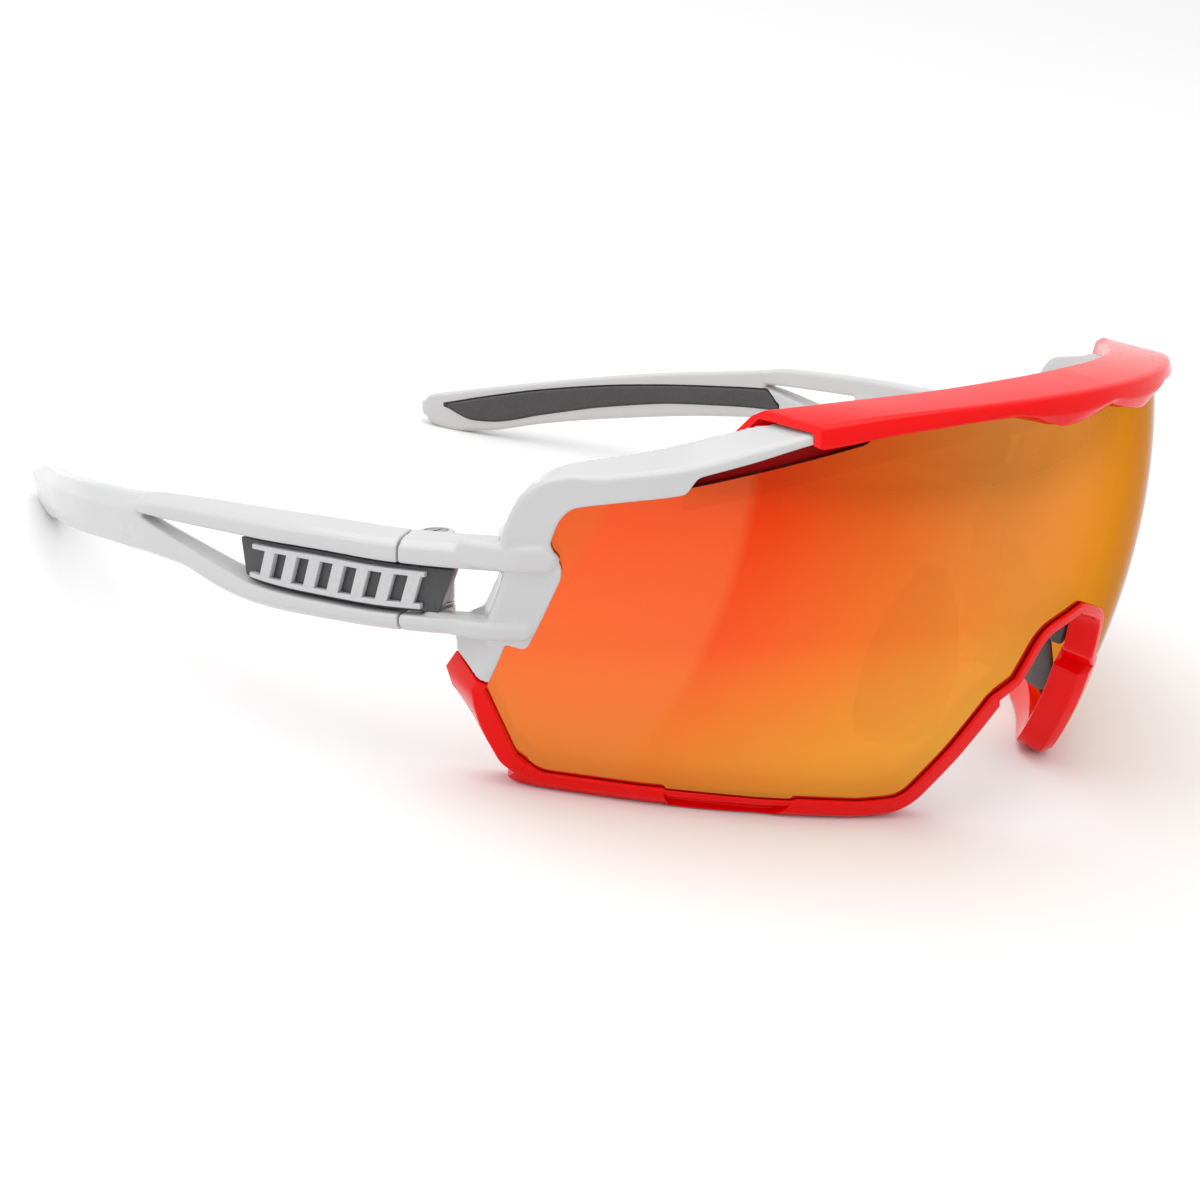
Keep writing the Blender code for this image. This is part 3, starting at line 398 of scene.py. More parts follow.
def rail(path):
    """Stations along a path round the lens: point, direction along, direction away from it, normal."""
    frames = [lens_frame(p.x, p.y) for p in path]
    stations = []
    for i, (point, normal) in enumerate(frames):
        ahead = frames[min(i + 1, len(frames) - 1)][0]
        behind = frames[max(i - 1, 0)][0]
        along = (ahead - behind).normalized()
        away = normal.cross(along).normalized()
        stations.append((point, along, away, normal))
    return stations


def eased(ring, radius, steps=3):
    """A ring of points with each corner turned into a short arc."""
    out = []
    for i, here in enumerate(ring):
        to_before = ring[i - 1] - here
        to_after = ring[(i + 1) % len(ring)] - here
        cut = min(radius, 0.45 * to_before.length, 0.45 * to_after.length)
        out += arc(here, to_before, to_after, cut, steps)
    return out


def domed(rings, radius, steps=3):
    """The same rings with both ends rounded over by a radius."""
    def end(last, before):
        middle = sum(last, Vector()) / len(last)
        out = (middle - sum(before, Vector()) / len(before)).normalized()
        made = []
        for k in range(steps + 1):
            turn = math.pi / 2 * k / steps
            ring = []
            for point in last:
                inwards = middle - point
                inset = min(radius * (1 - math.cos(turn)), 0.6 * inwards.length)
                ring.append(point + inwards.normalized() * inset - out * radius * (1 - math.sin(turn)))
            made.append(ring)
        return made

    return end(rings[0], rings[1])[::-1] + rings[1:-1] + end(rings[-1], rings[-2])


def loft(rings):
    """Closed mesh through rings of points, in the worn frame and in millimetres."""
    mesh = bmesh.new()
    rows = [[mesh.verts.new(p) for p in ring] for ring in rings]
    count = len(rings[0])
    for a, b in zip(rows, rows[1:]):
        for i in range(count):
            j = (i + 1) % count
            mesh.faces.new((a[i], a[j], b[j], b[i]))
    mesh.faces.new(rows[0][::-1])
    mesh.faces.new(rows[-1])
    bmesh.ops.recalc_face_normals(mesh, faces=mesh.faces)
    return mesh


def solid(rings, corner=0.3, ends=0.3):
    """A loft with eased edges and rounded ends."""
    return loft(domed([eased([Vector(p) for p in ring], corner) for ring in rings], ends))


def turns(sides):
    return [2 * math.pi * k / sides for k in range(sides)]


def ellipse(centre, first, second, sides):
    """A ring of points round a centre, from its two half-axes."""
    return [centre + first * math.cos(t) + second * math.sin(t) for t in turns(sides)]


def on_hinge(profile, sides=48):
    """A round body about the hinge's axis, through (radius, z) pairs."""
    def ring(r, z):
        return [Vector((HINGE_X + r * math.cos(t), HINGE_Y + r * math.sin(t), z)) for t in turns(sides)]

    return loft([ring(r, z) for r, z in profile])


def hinge_cylinder(radius, low, high):
    return on_hinge(((radius, low), (radius, high)))


def hinge_disc(radius, low, high, edge=0.12):
    """A cylinder about the hinge's axis with its rims cut back."""
    cut = radius - edge
    return on_hinge(((cut, low), (radius, low + edge), (radius, high - edge), (cut, high)))


def mirrored(mesh, side):
    """The same mesh, or its mirror image in the centre plane for the right side."""
    if side < 0:
        for vert in mesh.verts:
            vert.co.x = -vert.co.x
        bmesh.ops.reverse_faces(mesh, faces=mesh.faces)
    return mesh


def mesh_data(name, mesh):
    """Blender mesh data from a bmesh, which is freed."""
    data = bpy.data.meshes.new(name)
    mesh.to_mesh(data)
    mesh.free()
    return data


def in_scene(name, data):
    made = bpy.data.objects.new(name, data)
    bpy.context.scene.collection.objects.link(made)
    return made


def joined(*meshes):
    """One mesh of several closed shells."""
    whole = bmesh.new()
    for mesh in meshes:
        data = mesh_data("part", mesh)
        whole.from_mesh(data)
        bpy.data.meshes.remove(data)
    return whole


def evaluated(obj):
    """The object's mesh with its modifiers applied, as a bmesh, and the object removed."""
    bpy.context.view_layer.update()
    graph = bpy.context.evaluated_depsgraph_get()
    shape = bpy.data.meshes.new_from_object(obj.evaluated_get(graph))
    mesh = bmesh.new()
    mesh.from_mesh(shape)
    old = obj.data
    bpy.data.objects.remove(obj)
    bpy.data.meshes.remove(old)
    bpy.data.meshes.remove(shape)
    return mesh


def without(mesh, *cutters):
    """A mesh with each cutter taken out of it."""
    target = in_scene("target", mesh_data("target", mesh))
    helpers = []
    for cutter in cutters:
        helper = in_scene("cutter", mesh_data("cutter", cutter))
        helper.hide_render = True
        step = target.modifiers.new("cut", "BOOLEAN")
        step.operation = "DIFFERENCE"
        step.object = helper
        helpers.append(helper)
    result = evaluated(target)
    for helper in helpers:
        bpy.data.objects.remove(helper)
    return result


def moulded(mesh, voxel=0.2, passes=5):
    """One smooth skin over overlapping shells, with small fillets where they meet."""
    target = in_scene("target", mesh_data("target", mesh))
    step = target.modifiers.new("skin", "REMESH")
    step.mode = "VOXEL"
    step.voxel_size = voxel
    soften = target.modifiers.new("soften", "SMOOTH")
    soften.factor = 0.5
    soften.iterations = passes
    return evaluated(target)


def piece(node, ending, mesh, looks, body, sharp, side=1):
    """Places a mesh as a shown piece that rides on a body and stands for a CAD node."""
    name = f"{node}_{ending}"
    mesh = mirrored(mesh, side)
    mesh.transform(WORN @ Matrix.Scale(MM, 4))
    data = mesh_data(name, mesh)
    for material in looks:
        data.materials.append(material)
    data.shade_smooth()
    data.set_sharp_from_angle(angle=math.radians(sharp))
    made = in_scene(name, data)
    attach(made, body)
    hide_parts(node)


# ---- materials

class Look:
    """A node material round one Principled shader."""

    def __init__(self, name, colour, **sockets):
        self.material = bpy.data.materials.new(name)
        self.material.use_nodes = True
        self.nodes = self.material.node_tree.nodes
        self.links = self.material.node_tree.links
        self.shader = self.nodes["Principled BSDF"]
        self.shader.inputs["Base Color"].default_value = (*colour, 1)
        for socket, value in sockets.items():
            self.shader.inputs[socket.replace("_", " ")].default_value = value
        self.place = self.nodes.new("ShaderNodeTexCoord").outputs["Object"]

    def made(self, kind, **sockets):
        node = self.nodes.new("ShaderNode" + kind)
        for socket, value in sockets.items():
            node.inputs[socket].default_value = value
        return node

    def noise(self, scale, detail=2.0, rough=0.5):
        node = self.made("TexNoise", Scale=scale, Detail=detail, Roughness=rough)
        self.links.new(self.place, node.inputs["Vector"])
        return node.outputs["Fac"]

    def ramp(self, factor, stops):
        node = self.nodes.new("ShaderNodeValToRGB")
        points = node.color_ramp.elements
        for _ in range(len(stops) - 2):
            points.new(0.5)
        for point, (place, colour) in zip(points, stops):
            point.position = place
            point.color = (*colour, 1)
        self.links.new(factor, node.inputs["Fac"])
        return node.outputs["Color"]

    def remap(self, factor, low, high, start=0.0, end=1.0):
        node = self.nodes.new("ShaderNodeMapRange")
        for socket, value in zip(("From Min", "From Max", "To Min", "To Max"), (low, high, start, end)):
            node.inputs[socket].default_value = value
        self.links.new(factor, node.inputs["Value"])
        return node.outputs["Result"]

    def bump(self, height, distance, strength=1.0):
        node = self.made("Bump", Strength=strength, Distance=distance)
        self.links.new(height, node.inputs["Height"])
        self.links.new(node.outputs["Normal"], self.shader.inputs["Normal"])

    def colours(self, factor, *stops):
        self.links.new(self.ramp(factor, stops), self.shader.inputs["Base Color"])

    def sheen(self, noise, low, high):
        """Roughness between two values, by a noise."""
        self.links.new(self.remap(noise, 0.3, 0.7, low, high), self.shader.inputs["Roughness"])

    def give(self, socket, value):
        """Feeds a socket from another node's output, or sets it to a constant."""
        if isinstance(value, (int, float)):
            socket.default_value = value
        elif isinstance(value, (tuple, Vector)):
            socket.default_value = (*value, 1)[:len(socket.default_value)]
        else:
            self.links.new(value, socket)

    def math(self, operation, a, b, kind="Math", output="Value"):
        node = self.nodes.new("ShaderNode" + kind)
        node.operation = operation
        self.give(node.inputs[0], a)
        self.give(node.inputs[1], b)
        return node.outputs[output]

    def mixed(self, factor, a, b):
        """Colour a turning into colour b as the factor rises."""
        node = self.nodes.new("ShaderNodeMix")
        node.data_type = "RGBA"
        self.links.new(factor, node.inputs["Factor"])
        first, second = [i for i in node.inputs if i.type == "RGBA"]
        self.give(first, a)
        self.give(second, b)
        return next(o for o in node.outputs if o.type == "RGBA")

    def along(self, axis):
        """The shaded point's place along one of the worn axes, in metres."""
        offset = self.math("SUBTRACT", self.place, WORN.translation, "VectorMath", "Vector")
        return self.math("DOT_PRODUCT", offset, WORN.col[axis].to_3d().normalized(), "VectorMath")


def gloss(name, pale, deep, roughness, ior=1.46):
    """Polished moulding: a slight drift of colour, fine polish marks and faint orange peel."""
    look = Look(name, pale, IOR=ior)
    look.colours(look.noise(26, 3), (0.35, deep), (0.65, pale))
    look.sheen(look.noise(900, 4, 0.6), roughness - 0.03, roughness + 0.05)
    look.bump(look.noise(420, 2), 0.00002, 0.25)
    return look.material


def grained(name, dark, pale, roughness, grain, depth):
    """Moulded matte surface with a fine grain."""
    look = Look(name, dark)
    fine = look.noise(grain, 6, 0.7)
    look.colours(fine, (0.3, dark), (0.75, pale))
    look.sheen(look.noise(grain / 8, 3), roughness - 0.06, roughness + 0.06)
    look.bump(fine, depth, 0.6)
    return look.material


def metal(name, colour, roughness, grain=2500):
    look = Look(name, colour, Metallic=1.0)
    scratches = look.noise(grain, 5, 0.7)
    look.colours(scratches, (0.3, tuple(0.75 * c for c in colour)), (0.7, colour))
    look.sheen(scratches, roughness - 0.06, roughness + 0.1)
    look.bump(scratches, 0.00001, 0.4)
    return look.material


# Mirror coating: colours from the right side to the left one, at three heights.
COATING_HALF_WIDTH = 0.066
COATING_BAND = 0.016
UPPER_COLOURS = (
    (0.05, (0.90, 0.05, 0.012)), (0.17, (0.85, 0.06, 0.01)), (0.26, (0.80, 0.15, 0.02)),
    (0.36, (0.78, 0.27, 0.05)), (0.45, (0.92, 0.35, 0.06)), (0.65, (0.92, 0.40, 0.09)),
    (0.95, (0.95, 0.42, 0.11)),
)
MIDDLE_COLOURS = (
    (0.05, (0.93, 0.13, 0.03)), (0.15, (0.92, 0.11, 0.03)), (0.26, (0.90, 0.20, 0.03)),
    (0.38, (0.85, 0.30, 0.045)), (0.47, (0.83, 0.33, 0.06)), (0.65, (0.85, 0.42, 0.09)),
    (0.84, (0.80, 0.26, 0.08)),
)
LOWER_COLOURS = (
    (0.05, (1.0, 0.33, 0.055)), (0.15, (1.0, 0.35, 0.055)), (0.27, (1.0, 0.46, 0.065)),
    (0.50, (1.0, 0.52, 0.08)), (0.80, (0.95, 0.38, 0.07)),
)
# Painted bands towards the rims, as (slope, place, softness, colour). The foot's are (slope, start, end,
# colour).
# A paler band of painted reflection on the outer part of each side.
PAINTED_REFLECTION_BAND = (-0.0925, 0.0471, 0.0006, (1.0, 0.48, 0.16))
# A darker band of painted shade beside the side rim, stronger lower down.
SIDE_PAINTED_SHADE = (-0.309, 0.06212, 0.0007, (0.50, 0.27, 0.045))
# A darker band of painted shade along the lower rim.
FOOT_PAINTED_SHADE = (0.1835, -0.0272, -0.0288, (0.55, 0.30, 0.04))


def lens_look():
    """Mirror coating, red-orange at the temples and gold at the nose, with painted reflection and painted
    shade in soft bands towards the rims.
    """
    look = Look("mirror_coating_and_painted_light", (0.9, 0.2, 0.03), Metallic=0.78, IOR=1.12, Transmission_Weight=1.0,
                Specular_Tint=(0.62, 0.36, 0.12, 1))
    across = look.along(0)
    height = look.along(2)
    side = look.remap(across, -COATING_HALF_WIDTH, COATING_HALF_WIDTH)
    upper, middle, lower = [look.ramp(side, c) for c in (UPPER_COLOURS, MIDDLE_COLOURS, LOWER_COLOURS)]
    lens_colour = look.mixed(look.remap(height, -COATING_BAND, 0.0), lower, middle)
    lens_colour = look.mixed(look.remap(height, 0.0, COATING_BAND), lens_colour, upper)
    out = look.math("ABSOLUTE", across, 0.0)

    def beyond(slope, place, soft):
        """1 where the distance from the centre plane, less slope times the height, is past a place."""
        edge = look.math("SUBTRACT", out, look.math("MULTIPLY", height, slope))
        return look.remap(edge, place - soft, place + soft)

    # Paler band of painted reflection.
    *edge, colour = PAINTED_REFLECTION_BAND
    lens_colour = look.mixed(look.math("MULTIPLY", beyond(*edge), 0.15), lens_colour, colour)
    # Darker band of painted shade beside the side rim, stronger lower down.
    *edge, colour = SIDE_PAINTED_SHADE
    zone = beyond(*edge)
    strength = look.remap(height, 0.003, -0.008, 0.15, 0.65)
    lens_colour = look.mixed(look.math("MULTIPLY", zone, strength), lens_colour, colour)
    # Darker band of painted shade along the lower rim.
    slope, start, end, colour = FOOT_PAINTED_SHADE
    above_rim = look.math("SUBTRACT", height, look.math("MULTIPLY", out, slope))
    lens_colour = look.mixed(look.remap(above_rim, start, end, 0.0, 0.55), lens_colour, colour)
    # Painted sheen and painted shade by view angle: paler where the surface turns away from the view,
    # darker again nearest the outline.
    edge_on = look.nodes.new("ShaderNodeLayerWeight").outputs["Facing"]
    lens_colour = look.mixed(look.remap(edge_on, 0.55, 0.8, 0.0, 0.6), lens_colour, (0.95, 0.52, 0.22))
    lens_colour = look.mixed(look.remap(edge_on, 0.88, 0.94, 0.0, 0.8), lens_colour, (0.60, 0.36, 0.13))
    look.links.new(lens_colour, look.shader.inputs["Base Color"])
    look.sheen(look.noise(600, 3), 0.02, 0.05)
    return look.material


WHITE = gloss("white_moulding", (0.57, 0.57, 0.575), (0.55, 0.55, 0.555), 0.14)
RED = gloss("red_moulding", (0.84, 0.001, 0.002), (0.78, 0.001, 0.001), 0.12, 1.27)
DARK_RED = gloss("dark_red_strip", (0.60, 0.003, 0.003), (0.50, 0.003, 0.003), 0.35, 1.2)
# Near-black on the lens's edge faces: painted shade along the lens's edge and its gap in the rims.
EDGE_SHADE_BLACK = gloss("painted_edge_shade", (0.012, 0.012, 0.012), (0.02, 0.02, 0.02), 0.3)
RUBBER = grained("black_rubber", (0.045, 0.045, 0.047), (0.07, 0.07, 0.072), 0.55, 2600, 0.00004)
CHARCOAL = grained("charcoal_plate", (0.045, 0.045, 0.048), (0.062, 0.062, 0.065), 0.32, 3200, 0.00001)
SILVER = grained("silver_relief", (0.50, 0.50, 0.51), (0.58, 0.58, 0.59), 0.3, 2400, 0.00001)
STEEL = metal("screw_steel", (0.55, 0.55, 0.57), 0.28)
LENS = lens_look()


# ---- lens

TOP_PATH = rounded(LENS_TOP)
LOW_PATH = rounded(LENS_LOW)


def shield_lens():
    """One curved sheet with its edge faces painted near-black as shade."""
    kept = [0.0]
    places = {round(p.x, 3) for p in TOP_PATH + LOW_PATH if 0.4 < p.x < LENS_EDGE_X - 0.3}
    for x in sorted(places | {LENS_EDGE_X}):
        if x - kept[-1] > COLUMN_STEP:
            kept.append(x)
    columns = [-x for x in reversed(kept[1:])] + kept
    rows = SHEET_ROWS
    mesh = bmesh.new()
    sheets = []
    for depth in (0.0, -LENS_THICKNESS):
        sheet = []
        for x in columns:
            low = height_on(LOW_PATH, abs(x)) + EDGE_EASE
            high = height_on(TOP_PATH, abs(x)) - EDGE_EASE + curve(BEHIND_COVER, abs(x))
            heights = spread(low, max(high, low + 0.1), rows)
            sheet.append([mesh.verts.new(lens_point(x, z, depth)) for z in heights])
        sheets.append(sheet)
    for sheet in sheets:
        for a, b in zip(sheet, sheet[1:]):
            for i in range(rows):
                mesh.faces.new((a[i], a[i + 1], b[i + 1], b[i]))
    front, back = sheets
    edge = []
    for i in range(len(columns) - 1):
        for j in (0, rows):
            edge.append(mesh.faces.new((front[i][j], front[i + 1][j], back[i + 1][j], back[i][j])))
    for i in (0, -1):
        for j in range(rows):
            edge.append(mesh.faces.new((front[i][j], front[i][j + 1], back[i][j + 1], back[i][j])))
    bmesh.ops.recalc_face_normals(mesh, faces=mesh.faces)
    # The edge faces take the near-black painted shade.
    for face in edge:
        face.material_index = 1
    piece("shield_lens", "shell", mesh, [LENS, EDGE_SHADE_BLACK], "front", 40)


# ---- lower rim

def grooved(lap, front, width, rear_width, back, chamfer):
    """Rim section as (away from lens, normal): a groove round the lens edge, with a chamfered front."""
    behind = -LENS_THICKNESS - GAP
    floor = max(GAP, lap + 0.05)
    flat = spread(lap + 0.12, width - chamfer[0], 4)
    return (
        (lap, LIP_GAP), *((e, front) for e in flat), (width, front - chamfer[1]), (rear_width, back),
        (lap + 0.1, back), (lap + 0.1, behind), (floor + 0.1, behind), (floor, GAP),
    )


def ring_at(station, section, lean=0.0):
    """One ring of a sweep, slid along the path in proportion to the distance away from the lens."""
    point, along, away, normal = station
    return [point + away * e + normal * n + along * lean * (e + LAP) for e, n in section]


def notch_section(width):
    """Rim section in the finger notch: a channel along the lens edge, with a low lip outside it."""
    behind = -LENS_THICKNESS - GAP
    return (
        (-0.6, LIP_GAP), (-0.5, 0.35), (0.4, 0.3), (0.55, CHANNEL_FLOOR), (width - 1.25, CHANNEL_FLOOR),
        (width - 1.0, 0.3), (width - 0.1, -0.3), (width + 0.1, RIM_BACK), (0.1 - LAP, RIM_BACK),
        (0.1 - LAP, behind), (GAP + 0.1, behind), (GAP, GAP - 0.2),
    )


def rim_section(x, z):
    """Rim section beside one point of the lens's lower edge."""
    if x < NOSE_STEP_X:
        return grooved(-LAP, ARCH_FRONT, *ARCH_WIDTH, ARCH_BACK, ARCH_CHAMFER)
    if x > SIDE_RIM_X and z > STEP_Z:
        ridge, rear = curve(SIDE_RIDGE, z), curve(SIDE_REAR, z)
        return grooved(-LAP, RIM_FRONT, ridge + 0.3, rear, RIM_BACK, SIDE_CHAMFER)
    width, ridge = curve(BOTTOM_WIDTH, x), curve(BOTTOM_RIDGE, x)
    if NOTCH_X[0] < x < NOTCH_X[1]:
        return notch_section(width)
    return grooved(-LAP, BOTTOM_FRONT, width, width + 0.1, RIM_BACK, (width - ridge, BOTTOM_CHAMFER))


def with_steps(path, levels, axis, half=0.15):
    """The path with a close pair of points wherever it crosses one of the levels along an axis."""
    out = [path[0]]
    for a, b in zip(path, path[1:]):
        for level in levels:
            if (a[axis] - level) * (b[axis] - level) < 0:
                middle = (level - a[axis]) / (b[axis] - a[axis])
                reach = half / (b - a).length
                out += [a.lerp(b, t) for t in (middle - reach, middle + reach) if 0.02 < t < 0.98]
        out.append(b)
    return out


def lower_rim():
    half = with_steps([Vector(RIM_START)] + LOW_PATH, (NOSE_STEP_X, *NOTCH_X), 0)
    path = both_halves(with_steps(half, (STEP_Z,), 1))
    rings = []
    for p, station in zip(path, rail(path)):
        lean = 0.0
        for place, amount in zip(NOTCH_X, NOTCH_LEAN):
            lean += amount * max(0.0, 1 - abs(abs(p.x) - place) / NOTCH_LEAN_RUN)
        rings.append(ring_at(station, rim_section(abs(p.x), p.y), -lean if p.x > 0 else lean))
    rim = without(solid(rings, 0.2, 0.1), foot_cutter())
    piece("lower_rim", "shell", rim, [RED], "front", 35)


def foot_cutter():
    """A slab under the surface that the object stands on, in the worn frame."""
    to_worn = WORN.inverted()
    ends = (-FOOT_SLAB_REACH, FOOT_SLAB_REACH)
    return loft([[to_worn @ (Vector((x, y, z)) * MM) / MM for x, z in FOOT_SLAB] for y in ends])


# ---- upper frame

def side_bar():
    """Left half of the exposed frame: along the brow, round the corner and down to the leg."""
    last = len(SIDE_BAR) - 1
    columns = [[(k, row[i]) for k, row in enumerate(SIDE_BAR)] for i in range(4)]
    path, widths = [], []
    for at in spread(0, last, BAR_ROW_STEPS * last):
        x, z, *width = [curve(column, at) for column in columns]
        path.append(Vector((x, z)))
        widths.append(width)
    rings = []
    for p, station, width in zip(path, rail(path), widths):
        inner = curve(BROW_INNER, p.x) if p.x < CORNER_X else curve(SIDE_INNER, p.y)
        rings.append(ring_at(station, grooved(inner, RIM_FRONT, *width, BAR_BACK, BAR_CHAMFER)))
    return loft(rings)


def side_edge(z):
    """Plan x of the lens's straight side edge at a height."""
    return SIDE_EDGE[0] + (SIDE_EDGE[1] - z) * SIDE_EDGE_RUN / SIDE_EDGE_DROP


def tongue(tip, low_edge, high_edge):
    """Front end of one of the fork's bars, proud of the frame and lapping over the lens."""
    rings = []
    for d in spread(tip, TONGUE_END, 24):
        front = curve(((tip, 1.1), (tip + 0.6, 1.6), (0.6, 1.55), (TONGUE_END, -1.2)), d)
        base = min(front - 0.3, curve(((tip, LIP_GAP), (0.5, LIP_GAP), (TONGUE_END, -3.0)), d))
        low, high = curve(low_edge, d), curve(high_edge, d)
        lower = ((low, base), (low, front - 0.4), (low + 0.35, front))
        upper = ((high - 0.5, front), (high, front - 0.5), (high, base))
        rings.append([lens_point(side_edge(z) + d, z, n) for z, n in lower + upper])
    return solid(rings, 0.25, 0.3)


def brow_bar():
    """Straight-through bar behind the lens's top edge, hidden by the cover."""
    rings = []
    for x in spread(-BROW_BAR_END, BROW_BAR_END, 48):
        top = curve(BROW_REAR, abs(x)) - COVER_WALL - GAP
        low = height_on(TOP_PATH, abs(x)) - BROW_BAR_DROP
        rear = curve(COVER_REAR, abs(x)) + COVER_WALL + GAP
        section = ((BROW_BAR_FRONT, low), (BROW_BAR_FRONT, top - 0.5), (rear, top), (rear, low))
        rings.append([brow_point(x, n, z) for n, z in section])
    return loft(rings)


def arm_frame(y):
    """Outer face point of an arm at one y, and its unit direction outwards."""
    x = curve(TEMPLE_OUTER, y)
    slope = (curve(TEMPLE_OUTER, y + 0.1) - curve(TEMPLE_OUTER, y - 0.1)) / 0.2
    along = Vector((slope, 1, 0)).normalized()
    return Vector((x, y, 0)), Vector((along.y, -along.x, 0))


def arm_point(y, inset, z):
    """A point at a height, inset from the outer face of an arm."""
    point, out = arm_frame(y)
    return point - out * inset + Vector((0, 0, z))


def arm_ring(y, section):
    """A ring on an arm at one y, from (inset, z) pairs."""
    return [arm_point(y, inset, z) for inset, z in section]


def arm_bar(edges, start, end, steps):
    """One of an arm's bars, chamfered outside, and drawn in where the paddle covers it."""
    low_edge, high_edge, chamfer_top, chamfer_low, corner = edges
    rings = []
    for y in spread(start, end, steps):
        low, high = curve(low_edge, y), curve(high_edge, y)
        outer = curve(SUNK_IN_PADDLE, y)
        inner = curve(TEMPLE_THICK, y) - outer
        if edges is UPPER_BAR:
            high -= outer
        else:
            low += outer
        section = (
            (outer, low + chamfer_low), (outer, high - chamfer_top),
            (outer + 1.2, high - 0.35 * chamfer_top), (inner - 1.0, high), (inner, high - 0.4),
            (inner, low + 0.2), (outer + 1.2, low),
        )
        rings.append(eased(arm_ring(y, section), corner, 2))
    return loft(rings)


def lens_clearance():
    """The lens's outer corner with a gap all round, cut from the fork's bars."""
    rings = []
    room = GAP + 0.03
    for x in spread(*CLEARANCE_X, 24):
        low = height_on(LOW_PATH, x) + CLEARANCE_RISE
        high = height_on(TOP_PATH, x) + room
        front = [lens_point(x, z, room) for z in spread(low, high, 12)]
        back = [lens_point(x, z, -LENS_THICKNESS - room) for z in spread(high, low, 12)]
        rings.append(front + back)
    return loft(rings)


def front_frame():
    shells = [brow_bar()]
    cutters = []
    for side in SIDES.values():
        half = [
            side_bar(),
            without(arm_bar(UPPER_BAR, UPPER_BAR_Y[0], PARTING_Y, 24), lens_clearance()),
            without(arm_bar(LOWER_BAR, LOWER_BAR_Y[0], PARTING_Y, 20), lens_clearance()),
            *(tongue(*edges) for edges in TONGUES),
            *(hinge_cylinder(EAR_RADIUS, *ear) for ear in (LOWER_EAR, UPPER_EAR)),
        ]
        pocket = (UPPER_EAR[1] - HEAD_POCKET_DEPTH, BORE_Z[1])
        holes = (hinge_cylinder(BORE_RADIUS, *BORE_Z), hinge_cylinder(HEAD_POCKET, *pocket))
        shells += [mirrored(shell, side) for shell in half]
        cutters += [mirrored(hole, side) for hole in holes]
    skin = without(moulded(joined(*shells)), *cutters)
    piece("front_frame", "moulding", skin, [WHITE], "front", 60)


def brow_cover():
    rings = []
    for x in spread(-COVER_END, COVER_END, 100):
        at = abs(x)
        ridge, rear = curve(BROW_RIDGE, at), curve(BROW_REAR, at)
        low, belt = curve(BROW_LOW, at), curve(BROW_BELT, at)
        back = curve(COVER_REAR, at)
        tuck = curve(CHIN_TUCK, at)
        section = (
            (COVER_FRONT - tuck, low), (COVER_FRONT + 0.2, belt), (COVER_FRONT, ridge - 0.3),
            (COVER_FRONT - 0.6, ridge), (back + 0.8, rear), (back, rear - 0.8), (back, rear - COVER_SKIRT),
            (back + COVER_WALL, rear - COVER_SKIRT), (back + COVER_WALL, rear - COVER_WALL),
            (COVER_FRONT - COVER_WALL, ridge - COVER_WALL), (COVER_FRONT - COVER_WALL - tuck, low + 0.3),
        )
        ring = []
        for n, z in section:
            slant = COVER_SLANT * (COVER_FRONT - n) / (COVER_FRONT - back)
            slant += COVER_TAIL * max(0, rear - z) / COVER_SKIRT * (n < back + 1)
            ring.append(brow_point(x * (1 + slant / COVER_END), n, z))
        rings.append(ring)
    cover = solid(rings, 0.3, 0.3)
    piece("brow_cover", "shell", cover, [RED], "front", 50)


def brow_liner():
    """Thin strip behind the lens's top edge, from one vent slot to the other."""
    front, back = LINER_FACES
    rings = []
    for x in spread(-LINER_END, LINER_END, 84):
        edge = height_on(TOP_PATH, abs(x))
        high = edge + LINER_RISE
        low = edge - LINER_DROP
        section = ((front, low), (front, high), (back, high), (back, low))
        rings.append([brow_point(x, n, z) for n, z in section])
    piece("brow_liner", "strip", solid(rings, 0.12, 0.1), [DARK_RED], "front", 50)


# ---- nose

def nose_carrier():
    """Saddle behind the nose arch, which carries the pads."""
    path = both_halves(rounded(CARRIER_PATH))
    saddle = solid([ring_at(station, CARRIER_SECTION) for station in rail(path)], 0.5, 0.3)
    piece("nose_carrier", "saddle", saddle, [RUBBER], "front", 60)


def pad_frame(side):
    """Pad plane: pivot point, direction backwards, direction up, and the normal towards the nose."""
    pivot = Vector(PAD_PIVOT)
    up = Vector(PAD_UP).normalized()
    back = Vector(PAD_BACK)
    back = (back - up * back.dot(up)).normalized()
    inward = up.cross(back).normalized()
    return [Vector((v.x * side, v.y, v.z)) for v in (pivot, back, up, inward)]


def nose_pad(name, side):
    """A leaf-shaped pad, thick in the middle, in the pad's own plane."""
    pivot, back, up, inward = pad_frame(side)
    rings = []
    for height in spread(*PAD_END, 48):
        wide, thick = curve(PAD_HALF_WIDTH, height), curve(PAD_THICKNESS, height)
        centre = pivot + up * height + back * curve(PAD_SET_BACK, height) - inward * PAD_SHIFT
        rings.append(ellipse(centre, back * wide, inward * thick * PAD_FULLNESS, 40))
    pad = loft(domed(rings, 0.35, 4))
    piece(f"nose_pad_{name}", "soft", pad, [RUBBER], f"{name}_nose_pad", 70)


def pad_wire(name, side):
    """Bendable core from the carrier to the pad's back."""
    pivot, back, up, inward = pad_frame(side)
    rings = []
    for t in spread(0, 1, 10):
        centre = pivot + back * (WIRE_BACK[0] + WIRE_BACK[1] * t) - inward * (WIRE_OUT[0] - WIRE_OUT[1] * t)
        rings.append(ellipse(centre, up * WIRE_RADIUS, inward * WIRE_RADIUS, 16))
    piece(f"pad_wire_{name}", "core", loft(rings), [STEEL], f"{name}_nose_pad", 50)


# ---- temples

